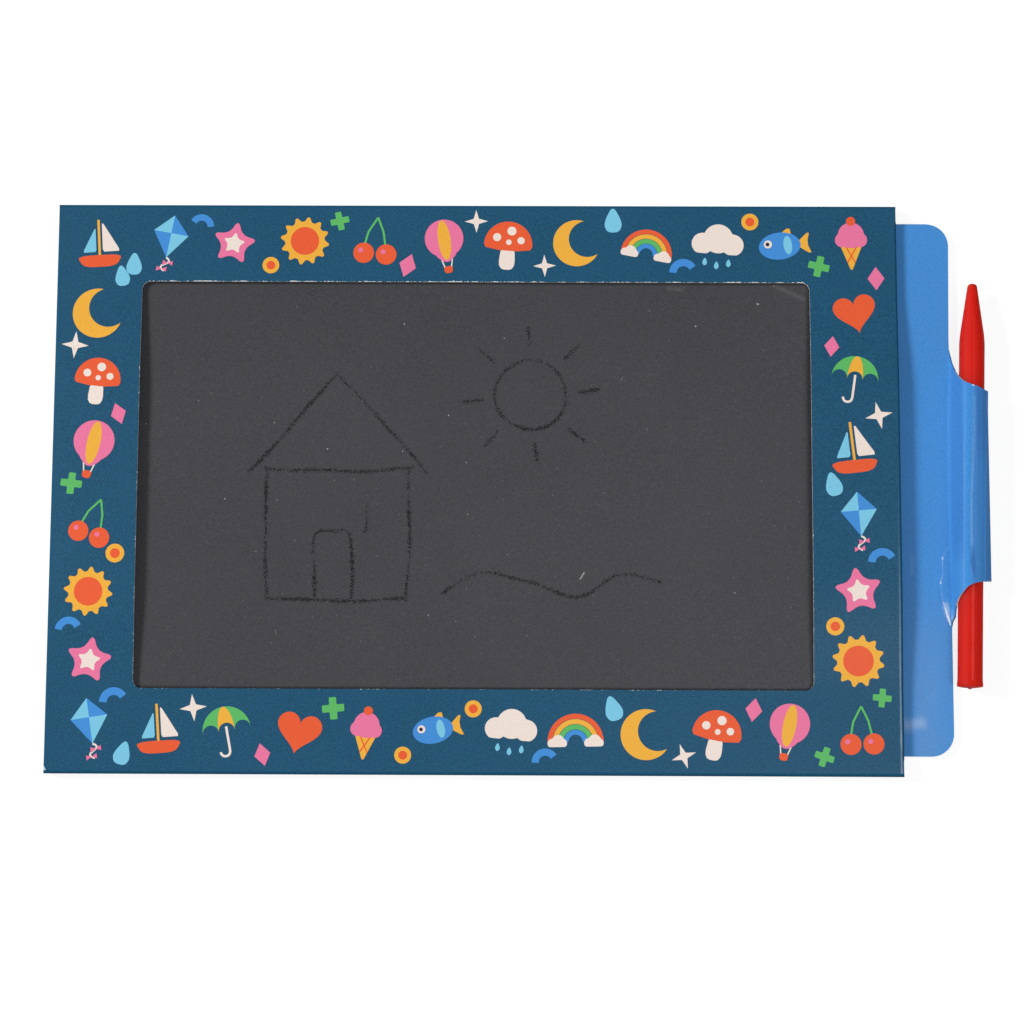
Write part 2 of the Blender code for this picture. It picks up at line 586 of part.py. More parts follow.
def stylus_profile():
    """Half outline of the stylus, (radius, place along its axis), from its butt to its tip."""
    half = STYLUS_LENGTH / 2
    butt, foot = BUTT_DIAMETER / 2, FOOT_DIAMETER / 2
    shaft, tip = STYLUS_RADIUS, TIP_DIAMETER / 2
    face = -half + NUB_LENGTH + BUTT_DOME
    nub = NUB_DIAMETER / 2
    outline = [(0.0, -half), (nub, -half), (nub, -half + NUB_LENGTH)]
    outline += [(radius, place) for radius, place in arc((butt - BUTT_ROUND, face + BUTT_ROUND),
                                                         BUTT_ROUND, -math.pi / 2, 0.0,
                                                         QUARTER_STEPS)]
    outline += [(foot + (butt - foot) / 4, face + BUTT_FLARE / 2), (foot, face + BUTT_FLARE)]
    taper = half - TAPER_LENGTH
    slope = (shaft - tip) / (TAPER_LENGTH - TIP_LENGTH)
    for share in steps_between(0.0, 1.0, QUARTER_STEPS):
        place = taper - SHOULDER / 2 + SHOULDER * share
        outline.append((shaft - slope * SHOULDER / 2 * share * share, place))
    outline.append((tip, half - TIP_LENGTH))
    outline += [(tip * 0.8, half - TIP_LENGTH / 2), (tip * 0.35, half - TIP_LENGTH / 10),
                (0.0, half)]
    return outline


def make_stylus():
    """Turned about its own length, which lies along Y in the stylus's own frame."""
    builder = bmesh.new()
    points = [builder.verts.new((radius, along, 0.0)) for radius, along in stylus_profile()]
    edges = [builder.edges.new(pair) for pair in zip(points, points[1:])]
    bmesh.ops.spin(builder, geom=points + edges, cent=(0, 0, 0), axis=(0, 1, 0),
                   angle=2 * math.pi, steps=STYLUS_SIDES, use_merge=True)
    bmesh.ops.remove_doubles(builder, verts=builder.verts, dist=WELD)
    bmesh.ops.recalc_face_normals(builder, faces=builder.faces)
    stylus = add_object("stylus", builder, RED_PLASTIC)
    stylus.data.shade_smooth()
    stylus.data.set_sharp_from_angle(angle=math.radians(40))
    return stylus


def add_joint(name, place, turn=0.0):
    """An empty on a moving piece's joint axis."""
    joint = bpy.data.objects.new(name, None)
    joint.location = place
    joint.rotation_euler = (0, 0, turn)
    bpy.context.scene.collection.objects.link(joint)
    return joint


clear_scene()
TEAL_CARD = plain_material("printed teal card", (0.018, 0.088, 0.160), 0.45)
CARD_EDGE = plain_material("bare card edge", (0.80, 0.78, 0.74), 0.80)
GREY_FILM = plain_material("grey writing film", (0.065, 0.065, 0.070), 0.50)
BLUE_CARD = plain_material("coated blue card", (0.055, 0.250, 0.630), 0.35)
BLACK_WAX = plain_material("black waxed board", (0.012, 0.012, 0.013), 0.40)
RED_PLASTIC = plain_material("red plastic", (0.660, 0.022, 0.014), 0.38)
GLUE = plain_material("adhesive strip", (0.75, 0.73, 0.66), 0.60)
TAPE = plain_material("clear tape", (0.70, 0.70, 0.68), 0.30)

make_sleeve()
make_sleeve_adhesive()
make_writing_film()

slide_axis = add_joint("slider_slide", (MOUTH_X, (SLIDER_LOW_Y + SLIDER_HIGH_Y) / 2, SLIDER_MID))
for piece in [make_slider_card()] + make_slider_layers():
    piece.parent = slide_axis
    piece.location = -slide_axis.location

stylus_axis = add_joint("stylus_slide", (STYLUS_X, STYLUS_CENTRE_Y, STYLUS_Z), -STYLUS_TILT)
stylus_axis.parent = slide_axis
stylus_axis.location -= slide_axis.location
make_stylus().parent = stylus_axis
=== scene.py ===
"""Looks of the magic slate: printed card sleeve, grey writing film with a drawing on it, coated blue
pull card with its pen loop, and a moulded red stylus, on a white table under soft studio light."""

import json
import math
import random

import bpy
from mathutils import Matrix, Vector


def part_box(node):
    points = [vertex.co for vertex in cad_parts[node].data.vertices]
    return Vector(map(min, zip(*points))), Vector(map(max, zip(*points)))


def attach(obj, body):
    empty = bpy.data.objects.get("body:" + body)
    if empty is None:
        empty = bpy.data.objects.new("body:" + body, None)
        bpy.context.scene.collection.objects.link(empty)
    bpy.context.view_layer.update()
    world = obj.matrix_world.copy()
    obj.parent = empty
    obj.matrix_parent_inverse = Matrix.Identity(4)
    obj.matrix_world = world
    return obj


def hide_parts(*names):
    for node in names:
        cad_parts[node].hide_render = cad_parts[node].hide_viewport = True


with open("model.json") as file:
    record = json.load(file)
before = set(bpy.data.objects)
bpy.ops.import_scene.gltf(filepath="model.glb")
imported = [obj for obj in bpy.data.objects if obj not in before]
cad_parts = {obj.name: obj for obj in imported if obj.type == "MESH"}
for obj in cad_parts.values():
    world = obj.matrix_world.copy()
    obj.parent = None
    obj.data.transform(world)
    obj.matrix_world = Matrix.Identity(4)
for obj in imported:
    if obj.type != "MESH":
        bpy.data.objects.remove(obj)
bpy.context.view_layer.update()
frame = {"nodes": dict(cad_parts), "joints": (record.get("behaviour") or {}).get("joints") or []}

MM = 0.001

# Camera, fitted to the sleeve's and the window's corners in the photograph
CAMERA_PLACE = (0.013846, -0.083182, 0.586046)
CAMERA_TURN_DEGREES = (7.53, 0.47, 0.26)
FOCAL_LENGTH_PIXELS = 2500.0
IMAGE_PIXELS = 1024.0
SENSOR_WIDTH = 36.0

# The sleeve's front stands up in a low arch on both sides of the window
ARCH_AT_END = 1.15 * MM
ARCH_AT_MOUTH = 1.30 * MM
ARCH_RISE = 34 * MM
ARCH_FOOT = 50 * MM
ARCH_TOP = 22 * MM
PANEL_CUT = 2.5 * MM
SLIT_PLACE = 64.02 * MM
CORNER_DRAWN_IN = 0.14 * MM

# Heights of the card's unprinted sides in millimetres, with the way each faces, and the lip at the mouth
LIP_HEIGHT = 1.08
LIP_REACH = 12.5 * MM
UNPRINTED_SIDES = [(0.45, 1), (LIP_HEIGHT, 1), (2.97, -1)]

# Writing film
FILM_CUT = 5 * MM
FILM_THICK = 0.12 * MM

# Printed ink
INK_SINK = 0.020 * MM
INK_THICK = 0.030 * MM
INK_STEP = 0.010 * MM

# Colours, as sRGB bytes
TEAL = (27, 80, 110)
# Painted highlight on the rounded hem at the mouth
FOLD_HIGHLIGHT_TEAL = (150, 167, 188)
CARD_CORE = (222, 223, 220)
CORNER_PALE = (196, 220, 226)
BARE_CARD = (196, 191, 180)
FILM_GREY = (67, 67, 71)
FILM_SCUFFED = (150, 150, 152)
DUST_PALE = (196, 194, 190)
MARK_DARK = (28, 28, 30)
BLUE = (64, 137, 207)
# Pale card core at scuffs and chips, also the colour of painted sheen and highlights on the pull card
RUBBED_AND_LIT_BLUE = (222, 231, 241)
# Painted sheen on the lower tab
SHEEN_GREY = (151, 157, 164)
WAX_BLACK = (24, 24, 26)
RED = (204, 29, 17)
# Mould seam along the stylus, partly a painted highlight
SEAM_HIGHLIGHT_PINK = (236, 128, 116)
GLUE_CREAM = (214, 208, 190)
TAPE_CLEAR = (214, 214, 208)
INKS = {
    "sunny": (236, 174, 62),
    "sky": (122, 196, 224),
    "pink": (231, 117, 158),
    "green": (92, 181, 99),
    "blue": (66, 140, 212),
    "coral": (230, 92, 52),
    "cream": (236, 221, 211),
    "night": (36, 39, 62),
}


# Measures read from the frame

def node_points(name):
    return [vertex.co.copy() for vertex in frame["nodes"][name].data.vertices]


sleeve_low, sleeve_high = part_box("sleeve")
slider_low, slider_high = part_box("slider_card")
film_low, film_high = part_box("writing_film")
stylus_low, stylus_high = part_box("stylus")
FRONT_TOP = sleeve_high.z
half_length, half_height = sleeve_high.x, sleeve_high.y
rim = [p for p in node_points("sleeve") if p.z > FRONT_TOP - 0.1 * MM
       and abs(p.x) < 0.9 * half_length and abs(p.y) < 0.9 * half_height]
window_low = Vector((min(p.x for p in rim), min(p.y for p in rim)))
window_high = Vector((max(p.x for p in rim), max(p.y for p in rim)))
window_centre = (window_low + window_high) / 2
window_half = (window_high - window_low) / 2
WINDOW_CORNER = 2 * MM
TAB_TOP = max(p.z for p in node_points("slider_card") if p.y > slider_high.y - 0.01 * MM)
TAB_EDGE = max(p.x for p in node_points("slider_card") if p.y < slider_low.y + 20 * MM)
FILM_TOP = min(p.z for p in node_points("writing_film")) + FILM_THICK
stylus_axis = Vector(next(j["axis"] for j in frame["joints"] if j["name"] == "stylus_pull"))
stylus_across = Vector((stylus_axis.y, -stylus_axis.x, 0))
stylus_centre = (stylus_low + stylus_high) / 2


def smooth_step(low, high, value):
    share = min(max((value - low) / (high - low), 0.0), 1.0)
    return share * share * (3 - 2 * share)


def front_lift(x, y):
    """How far the front panel stands above its flat place."""
    arch = smooth_step(-ARCH_FOOT, -ARCH_TOP, -abs(y))
    rise = math.sin(math.pi / 2 * min(max((x + half_length) / ARCH_RISE, 0.0), 1.0))
    towards_mouth = smooth_step(-half_length, half_length, x)
    return arch * rise * (ARCH_AT_END + (ARCH_AT_MOUTH - ARCH_AT_END) * towards_mouth)


# Modelling helpers

def only(*objects):
    """Selects these objects and nothing else."""
    bpy.ops.object.select_all(action="DESELECT")
    for each in objects:
        each.select_set(True)
    bpy.context.view_layer.objects.active = objects[0]


def edit(piece, mode="VERT"):
    only(piece)
    bpy.ops.object.mode_set(mode="EDIT")
    bpy.ops.mesh.select_mode(type=mode)


def leave_edit():
    bpy.ops.object.mode_set(mode="OBJECT")


def face_outwards():
    """Ends an edit with all faces turned outwards."""
    bpy.ops.mesh.select_all(action="SELECT")
    bpy.ops.mesh.normals_make_consistent(inside=False)
    leave_edit()


def new_piece(add_shape, name, **sizes):
    """A new object that starts as one of Blender's basic shapes, lamps or cameras."""
    bpy.ops.object.select_all(action="DESELECT")
    add_shape(**sizes)
    piece = bpy.context.object
    piece.name = name
    return piece


def thicken(piece, height):
    """Raises a flat shape to its thickness."""
    edit(piece, "FACE")
    bpy.ops.mesh.select_all(action="SELECT")
    bpy.ops.mesh.extrude_region_move(TRANSFORM_OT_translate={"value": (0, 0, height)})
    face_outwards()


def copy_of_node(node, name):
    """A welded copy of a CAD node, to be worked on as a piece of its own."""
    piece = bpy.data.objects.new(name, frame["nodes"][node].data.copy())
    bpy.context.scene.collection.objects.link(piece)
    edit(piece)
    bpy.ops.mesh.select_all(action="SELECT")
    bpy.ops.mesh.remove_doubles(threshold=0.001 * MM)
    leave_edit()
    only(piece)
    bpy.ops.mesh.customdata_custom_splitnormals_clear()
    piece.data.materials.clear()
    return piece


def cut_into_strips(piece, axis, low, high, spacing):
    """Cuts across a piece at even places, so that it can bend."""
    count = max(int((high - low) / spacing), 1)
    across = Vector((1 - axis, axis, 0))
    edit(piece)
    for step in range(count + 1):
        bpy.ops.mesh.select_all(action="SELECT")
        bpy.ops.mesh.bisect(plane_co=across * (low + (high - low) * step / count), plane_no=across)
    leave_edit()


def cut_into_grid(piece, low, high, spacing):
    """Cuts a piece both ways, all but its rim."""
    for axis in (0, 1):
        cut_into_strips(piece, axis, low[axis] + spacing, high[axis] - spacing, spacing)


def soften_shading(piece, angle=32):
    only(piece)
    bpy.ops.object.shade_smooth_by_angle(angle=math.radians(angle))
    bpy.ops.object.modifier_add(type="WEIGHTED_NORMAL")
    piece.modifiers[-1].keep_sharp = True
    bpy.ops.object.modifier_apply(modifier=piece.modifiers[-1].name)


def paint_faces(piece, surfaces, choose):
    """Gives each face one of the surfaces, picked by choose(centre, normal)."""
    for surface in surfaces:
        piece.data.materials.append(surface)
    for face in piece.data.polygons:
        face.material_index = choose(face.center, face.normal)


def join(name, pieces):
    only(*pieces)
    if len(pieces) > 1:
        bpy.ops.object.join()
    joined = bpy.context.object
    joined.name = name
    joined.data.name = name
    return joined


# Shader helpers. A field is a value, colour or place that changes over a surface

class Field:
    """One output of a shader node. A formula of fields makes the math nodes that work it out."""

    def __init__(self, tree, socket):
        self.tree = tree
        self.socket = socket

    def calc(self, operation, other=0.0, clamp=False):
        inputs = {0: self, 1: other}
        return field(self.tree, "ShaderNodeMath", inputs, operation=operation, use_clamp=clamp)

    def __add__(self, other):
        return self.calc("ADD", other)

    def __sub__(self, other):
        return self.calc("SUBTRACT", other)

    def __rsub__(self, other):
        return self * -1.0 + other

    def __mul__(self, other):
        return self.calc("MULTIPLY", other)

    def __truediv__(self, other):
        return self.calc("DIVIDE", other)

    __radd__ = __add__


def linear(colour, shade=1.0):
    """Scene colour of an sRGB colour in bytes, which may be made lighter or darker first."""
    def channel(value):
        value *= shade / 255
        return value / 12.92 if value <= 0.04045 else ((value + 0.055) / 1.055) ** 2.4
    return (*[channel(value) for value in colour], 1.0)


def set_input(tree, socket, value):
    if isinstance(value, Field):
        tree.links.new(value.socket, socket)
    else:
        socket.default_value = value


def add_node(tree, kind, inputs=(), **settings):
    node = tree.nodes.new(kind)
    for key, value in settings.items():
        setattr(node, key, value)
    for key, value in dict(inputs).items():
        set_input(tree, node.inputs[key], value)
    return node


def set_values(node, **values):
    """Sets values that are the same all over a surface; a socket's name has _ for each space."""
    for key, value in values.items():
        node.inputs[key.replace("_", " ")].default_value = value


def field(tree, kind, inputs=(), output=0, **settings):
    return Field(tree, add_node(tree, kind, inputs, **settings).outputs[output])


def fields(tree, kind, inputs=(), **settings):
    """All outputs of a new shader node, by name."""
    node = add_node(tree, kind, inputs, **settings)
    return {socket.name: Field(tree, socket) for socket in node.outputs}


def vector(operation, first, second=(0, 0, 0), output=0):
    return field(first.tree, "ShaderNodeVectorMath", {0: first, 1: second}, output, operation=operation)


def between(value, low, high):
    """0 at low, 1 at high, and a smooth change between them."""
    inputs = {"Value": value, "From Min": low, "From Max": high}
    return field(value.tree, "ShaderNodeMapRange", inputs, "Result", interpolation_type="SMOOTHSTEP")


def mix(factor, first, second, blend="MIX"):
    inputs = {0: factor, 6: first, 7: second}
    return field(factor.tree, "ShaderNodeMix", inputs, 2, data_type="RGBA", blend_type=blend)


def shaded(colour, value):
    """A colour made lighter or darker by a field."""
    return field(value.tree, "ShaderNodeHueSaturation", {"Value": value, "Color": colour})


def noise(place, scale, detail=2.0, roughness=0.5, distortion=0.0):
    inputs = {"Vector": place, "Scale": scale, "Detail": detail, "Roughness": roughness,
              "Distortion": distortion}
    return field(place.tree, "ShaderNodeTexNoise", inputs, "Fac")


def object_place(tree):
    return field(tree, "ShaderNodeTexCoord", output="Object")


def stretched(place, scale, turn=0.0):
    return field(place.tree, "ShaderNodeMapping", {"Vector": place, "Rotation": (0, 0, turn), "Scale": scale})


def split(place):
    """The x, y and z of a place."""
    return list(fields(place.tree, "ShaderNodeSeparateXYZ", {0: place}).values())


def strongest(masks):
    strong = masks[0]
    for mask in masks[1:]:
        strong = strong.calc("MAXIMUM", mask)
    return strong


def new_group(name, **inputs):
    """Starts a shader node group: the place on the surface, and the group's named inputs as fields."""
    group = bpy.data.node_groups.new(name, "ShaderNodeTree")
    kinds = {1: "NodeSocketFloat", 3: "NodeSocketVector", 4: "NodeSocketColor"}
    for key, value in inputs.items():
        kind = kinds[len(value) if isinstance(value, tuple) else 1]
        group.interface.new_socket(key, in_out="INPUT", socket_type=kind).default_value = value
    given = group.nodes.new("NodeGroupInput").outputs
    return object_place(group), {key: Field(group, given[key]) for key in inputs}


def end_group(group, **outputs):
    """Ends a node group with its named outputs."""
    for key in outputs:
        kind = "NodeSocketColor" if key == "Colour" else "NodeSocketFloat"
        group.interface.new_socket(key, in_out="OUTPUT", socket_type=kind)
    add_node(group, "NodeGroupOutput", outputs)
    return group


def use_group(tree, group, **inputs):
    return fields(tree, "ShaderNodeGroup", inputs, node_tree=group)


def make_card_coat_group():
    """Faint print mottle and paper grain of coated card: colour, roughness and bump height."""
    place, given = new_group("coated card", Colour=(0.5, 0.5, 0.5, 1), Mottle=0.06, Grain=0.5, Roughness=0.4)
    broad = noise(place, 45.0, 3.0)
    fine = noise(place, 2600.0, 2.0, 0.6)
    fibre = noise(place, 900.0, 4.0, 0.65, 0.6)
    shade = 1.0 + (broad - 0.5) * given["Mottle"] + (fine - 0.5) * given["Grain"]
    return end_group(place.tree, Colour=shaded(given["Colour"], shade),
                     Roughness=given["Roughness"] + (broad - 0.5) * 0.12 + (fibre - 0.5) * 0.10,
                     Height=fibre * 0.7 + fine * 0.3)


def make_line_wear_and_light_group():
    """Mask of a ragged line between two points in plan, for scuffed creases and worn edges, and for painted
    shade and painted highlights.
    """
    place, given = new_group("wear and light line", From=(0, 0, 0), To=(0, 0, 0), Width=0.3 * MM, Ragged=0.5, Soft=0.0,
                             Strength=1.0, Seed=0.0)
    run = vector("SUBTRACT", given["To"], given["From"])
    reach = vector("SUBTRACT", vector("MULTIPLY", place, (1, 1, 0)), given["From"])
    along = vector("DOT_PRODUCT", reach, run, "Value")
    share = along.calc("DIVIDE", vector("DOT_PRODUCT", run, run, "Value"), clamp=True)
    nearest = field(place.tree, "ShaderNodeVectorMath", {0: run, "Scale": share}, operation="SCALE")
    distance = vector("DISTANCE", reach, nearest, "Value")
    shifted = vector("ADD", place, given["Seed"])
    ragged = (noise(shifted, 1900.0, 3.0, 0.7) + noise(shifted, 420.0) - 1.0) * given["Ragged"]
    width = given["Width"] * (ragged * 3.0 + 1.0)
    inside = distance / width.calc("MAXIMUM", 0.0001 * MM)
    mask = 1.0 - between(inside, given["Soft"] * -0.55 + 0.55, 1.05)
    return end_group(place.tree, Mask=mask * given["Strength"])


def make_speck_group():
    """Mask of scattered dust specks: most are faint, a few are bright."""
    place, given = new_group("dust specks", Scale=250.0, Amount=0.1, Size=0.12)
    inputs = {"Vector": place, "Scale": given["Scale"]}
    cells = fields(place.tree, "ShaderNodeTexVoronoi", inputs, voronoi_dimensions="2D")
    pick, spread, glow = fields(place.tree, "ShaderNodeSeparateColor", {0: cells["Color"]}).values()
    size = given["Size"] * (spread * 0.9 + 0.25)
    near = 1.0 - between(cells["Distance"], size * 0.6, size)
    chosen = pick.calc("LESS_THAN", given["Amount"])
    return end_group(place.tree, Mask=near * chosen * (glow.calc("POWER", 22.0) * 0.6 + 0.065))


def wear_and_light_lines(tree, lines, ragged, soft=0.0):
    """Mask of several lines of wear, painted shade and painted highlight in plan, in millimetres: (start,
    end, width, strength).
    """
    return strongest([
        use_group(tree, line_wear_and_light, From=Vector((*start, 0)) * MM, To=Vector((*end, 0)) * MM, Width=width * MM,
                  Ragged=ragged, Soft=soft, Strength=strength, Seed=index * 0.37)["Mask"]
        for index, (start, end, width, strength) in enumerate(lines)])


# Marks on the film: rubbed places near the window's upper side, and flecks and hairs of dust
FILM_RUBS = [((71.6, 48.2), (77.7, 45.3), 0.9, 0.055), ((45.6, 47.9), (49.0, 47.4), 0.8, 0.045)]
FILM_FLECKS = [((24.8, -21.8), (25.7, -20.4), 0.22, 0.45), ((52.1, 38.7), (52.2, 38.6), 0.22, 0.5),
               ((66.8, 44.1), (67.1, 44.0), 0.20, 0.6), ((34.4, 25.4), (34.8, 26.4), 0.12, 0.14),
               ((67.7, 33.1), (68.4, 32.8), 0.12, 0.14), ((-46.6, -34.1), (-46.3, -35.1), 0.12, 0.12)]


def make_film_group():
    """Matte film: grain, faint clouds, scuffs and dust as colour, roughness and bump height, darker towards
    the top and the left, with a painted shadow along the window's right and lower edges.
    """
    place, given = new_group("matte film", Colour=(0.1, 0.1, 0.1, 1))
    x, y, _ = split(place)
    grain = noise(place, 3000.0, 2.0, 0.6)
    cloud = noise(place, 28.0, 3.0, 0.55)
    # Painted shadow along the window's right and lower edges
    right_edge_shadow = between(x, window_high.x - 1.1 * MM, window_high.x - 0.6 * MM)
    lower_edge_shadow = between(y, window_low.y + 0.75 * MM, window_low.y + 0.35 * MM)
    # The film is also made darker towards the top and the left
    shade = 1.0 + (grain - 0.5) * 1.25 + (cloud - 0.5) * 0.16 + x * 0.55 - between(y, 8 * MM, 50 * MM) * 0.07
    shade -= strongest([right_edge_shadow * 0.24, lower_edge_shadow * 0.46])
    scuff = between(noise(stretched(place, (1.0, 14.0, 1.0), 0.5), 60.0, 4.0, 0.7), 0.62, 0.80)
    colour = mix(scuff * 0.08, shaded(given["Colour"], shade), linear(FILM_SCUFFED))
    dust = strongest([use_group(place.tree, dust_specks, Scale=330.0, Amount=0.60, Size=0.062)["Mask"],
                      use_group(place.tree, dust_specks, Scale=110.0, Amount=0.30, Size=0.025)["Mask"],
                      wear_and_light_lines(place.tree, FILM_RUBS, 0.3, 1.0), wear_and_light_lines(place.tree, FILM_FLECKS, 0.5)])
    return end_group(place.tree, Colour=mix(dust, colour, linear(DUST_PALE)),
                     Roughness=0.52 + (cloud - 0.5) * 0.18 + scuff * 0.10, Height=grain)


card_coat = make_card_coat_group()
line_wear_and_light = make_line_wear_and_light_group()
dust_specks = make_speck_group()
film_tone = make_film_group()


# Materials

def new_material(name):
    """A new material, its node tree and the place on its surface."""
    material = bpy.data.materials.new(name)
    material.use_nodes = True
    return material, material.node_tree, object_place(material.node_tree)


def set_finish(material, colour, roughness, relief=None, gloss=0.5):
    """Sets a finish. Its relief is (height, strength, depth in millimetres); without it, gloss stays."""
    tree = material.node_tree
    inputs = tree.nodes["Principled BSDF"].inputs
    set_input(tree, inputs["Base Color"], colour)
    set_input(tree, inputs["Roughness"], roughness)
    if relief:
        height, strength, depth = relief
        bump = {"Height": height, "Strength": strength, "Distance": depth * MM}
        set_input(tree, inputs["Normal"], field(tree, "ShaderNodeBump", bump, "Normal"))
        inputs["Specular IOR Level"].default_value = gloss
    return material


def coated_card(name, colour, mottle, grain, roughness, gloss):
    """Material of printed or coated card, and the fields that wear is added to."""
    material, tree, place = new_material(name)
    coat = use_group(tree, card_coat, Colour=linear(colour), Mottle=mottle, Grain=grain, Roughness=roughness)
    set_finish(material, coat["Colour"], coat["Roughness"], (coat["Height"], 0.25, 0.02), gloss)
    return material, tree, place, coat


def wear_to_core(material, colour, roughness, mask, core):
    """Shows the card's pale core where the mask is 1."""
    return set_finish(material, mix(mask, colour, linear(core)), roughness + mask * 0.35)


def window_distance(place):
    """Distance from the window's rounded outline, in metres: more than 0 on the card."""
    offset = vector("ABSOLUTE", vector("SUBTRACT", place, (*window_centre, 0)))
    x, y = [part + WINDOW_CORNER for part in split(vector("SUBTRACT", offset, (*window_half, 0)))[:2]]
    outer_x, outer_y = x.calc("MAXIMUM"), y.calc("MAXIMUM")
    inner = x.calc("MAXIMUM", y).calc("MINIMUM")
    return (outer_x * outer_x + outer_y * outer_y).calc("SQRT") + inner - WINDOW_CORNER


def make_teal_card():
    material, tree, place, coat = coated_card("printed teal card", TEAL, 0.12, 1.5, 0.36, 0.3)
    x, y, _ = split(place)
    chips = noise(place, 1500.0, 3.0, 0.7) + noise(place, 260.0) * 0.6
    # The pale cut line shows the card's core at chips round the window; on the upper side it is wider and
    # stronger, a painted highlight of the lit cut wall
    lit_upper_rim = between(y, window_high.y - 0.5 * MM, window_high.y)
    ragged = (chips - 0.88) * (0.9 * MM) + lit_upper_rim * (0.13 * MM)
    cut_line = window_distance(place).calc("LESS_THAN", ragged) * (lit_upper_rim * 0.3 + 0.7)
    left, low = -half_length / MM, -half_height / MM
    corner_wear = wear_and_light_lines(tree, [((left, low + 0.5), (left, low + 0.8), 0.62, 1.0),
                                    ((left, low + 0.8), (left, low + 1.4), 0.40, 1.0)], 0.4)
    # Painted highlight: a pale line along the rounded hem at the mouth, stronger towards the bottom
    from_fold_highlight = (x - (half_length - 0.72 * MM)).calc("ABSOLUTE")
    uneven = noise(place, 420.0, 3.0, 0.6) * 0.9 + 0.10
    mouth_fold_highlight = (1.0 - between(from_fold_highlight, 0.02 * MM, 0.36 * MM)) * between(y, 4 * MM, -62 * MM) * uneven
    colour = mix(mouth_fold_highlight, coat["Colour"], linear(FOLD_HIGHLIGHT_TEAL))
    colour = mix(corner_wear, colour, linear(CORNER_PALE))
    return wear_to_core(material, colour, coat["Roughness"], cut_line, CARD_CORE)


def make_plain_card(name, colour):
    """Uncoated card with visible fibres, for cut edges and unprinted sides."""
    material, _, place = new_material(name)
    fibre = noise(place, 1300.0, 5.0, 0.7, 1.2)
    tone = mix(between(fibre, 0.3, 0.7), linear(colour, 0.80), linear(colour))
    tone = mix(noise(place, 5200.0) * 0.35, tone, linear(CARD_CORE))
    return set_finish(material, tone, fibre * 0.2 + 0.72, (fibre, 0.5, 0.04), 0.3)


def make_film_grey():
    material, tree, _ = new_material("grey writing film")
    tone = use_group(tree, film_tone, Colour=linear(FILM_GREY))
    return set_finish(material, tone["Colour"], tone["Roughness"], (tone["Height"], 0.18, 0.02), 0.2)


def make_drawn_line():
    """Where the film clings to the wax: darker towards the line's middle, broken up by grain."""
    material, tree, place = new_material("film clinging to wax")
    tone = use_group(tree, film_tone, Colour=linear(FILM_GREY))
    across = split(field(tree, "ShaderNodeTexCoord", output="UV"))[1]
    from_middle = (across * 2.0 - 1.0).calc("ABSOLUTE")
    edge = from_middle + (noise(place, 3400.0, 1.0, 0.6) - 0.5) * 5.0 + (noise(place, 160.0) - 0.5) * 2.0
    mask = 1.0 - between(edge, 0.0, 0.56)
    return set_finish(material, mix(mask, tone["Colour"], linear(MARK_DARK)),
                      tone["Roughness"] - mask * 0.06, (tone["Height"], 0.18, 0.02), 0.2)


# Worn places on the pull card, in millimetres in plan. The scuff runs along the foot of the pen loop. The
# creases carry painted shade; of the smears, the first is a painted sheen on the lower tab and the last three
# make a painted highlight along the loop's top
SCUFF_POINTS = [(111.3, -13.9), (109.9, -16.4), (109.9, -20.5), (109.3, -22.3), (109.5, -24.8),
                (109.8, -26.8), (110.32, -28.41), (110.80, -30.11), (111.27, -31.45), (111.43, -32.3)]
SCUFF_WIDTHS = [0.07, 0.07, 0.10, 0.06, 0.08, 0.15, 0.24, 0.27, 0.13]
SCUFF_STRENGTHS = [0.22, 0.25, 0.40, 0.15, 0.20, 0.40, 0.80, 1.0, 1.0]
CARD_CREASES = [((108.66, -23.34), (109.0, -25.16), 0.20, 0.8), ((109.0, -25.16), (109.56, -27.2), 0.20, 0.8)]
CARD_CHIPS = [((109.9, -16.3), (109.9, -16.7), 0.20, 0.6), ((109.3, -22.2), (109.4, -22.5), 0.20, 0.7),
              ((116.8, 23.75), (117.0, 23.75), 0.13, 0.9)]
CARD_SMEARS_AND_HIGHLIGHTS = [((100.8, -55.7), (104.2, -55.2), 2.2, 0.20), ((102.7, -16.0), (102.7, -20.3), 0.7, 0.06),
               ((110.5, -27.6), (111.4, -30.9), 1.1, 0.34), ((117.2, 20.9), (116.8, 8.6), 0.45, 0.06),
               ((116.8, 8.6), (115.9, -3.0), 0.45, 0.07), ((115.9, -3.0), (115.9, -14.1), 0.45, 0.09)]
# Painted shade in the tab's creases
CREASE_SHADE = (0.72, 0.80, 0.88, 1)


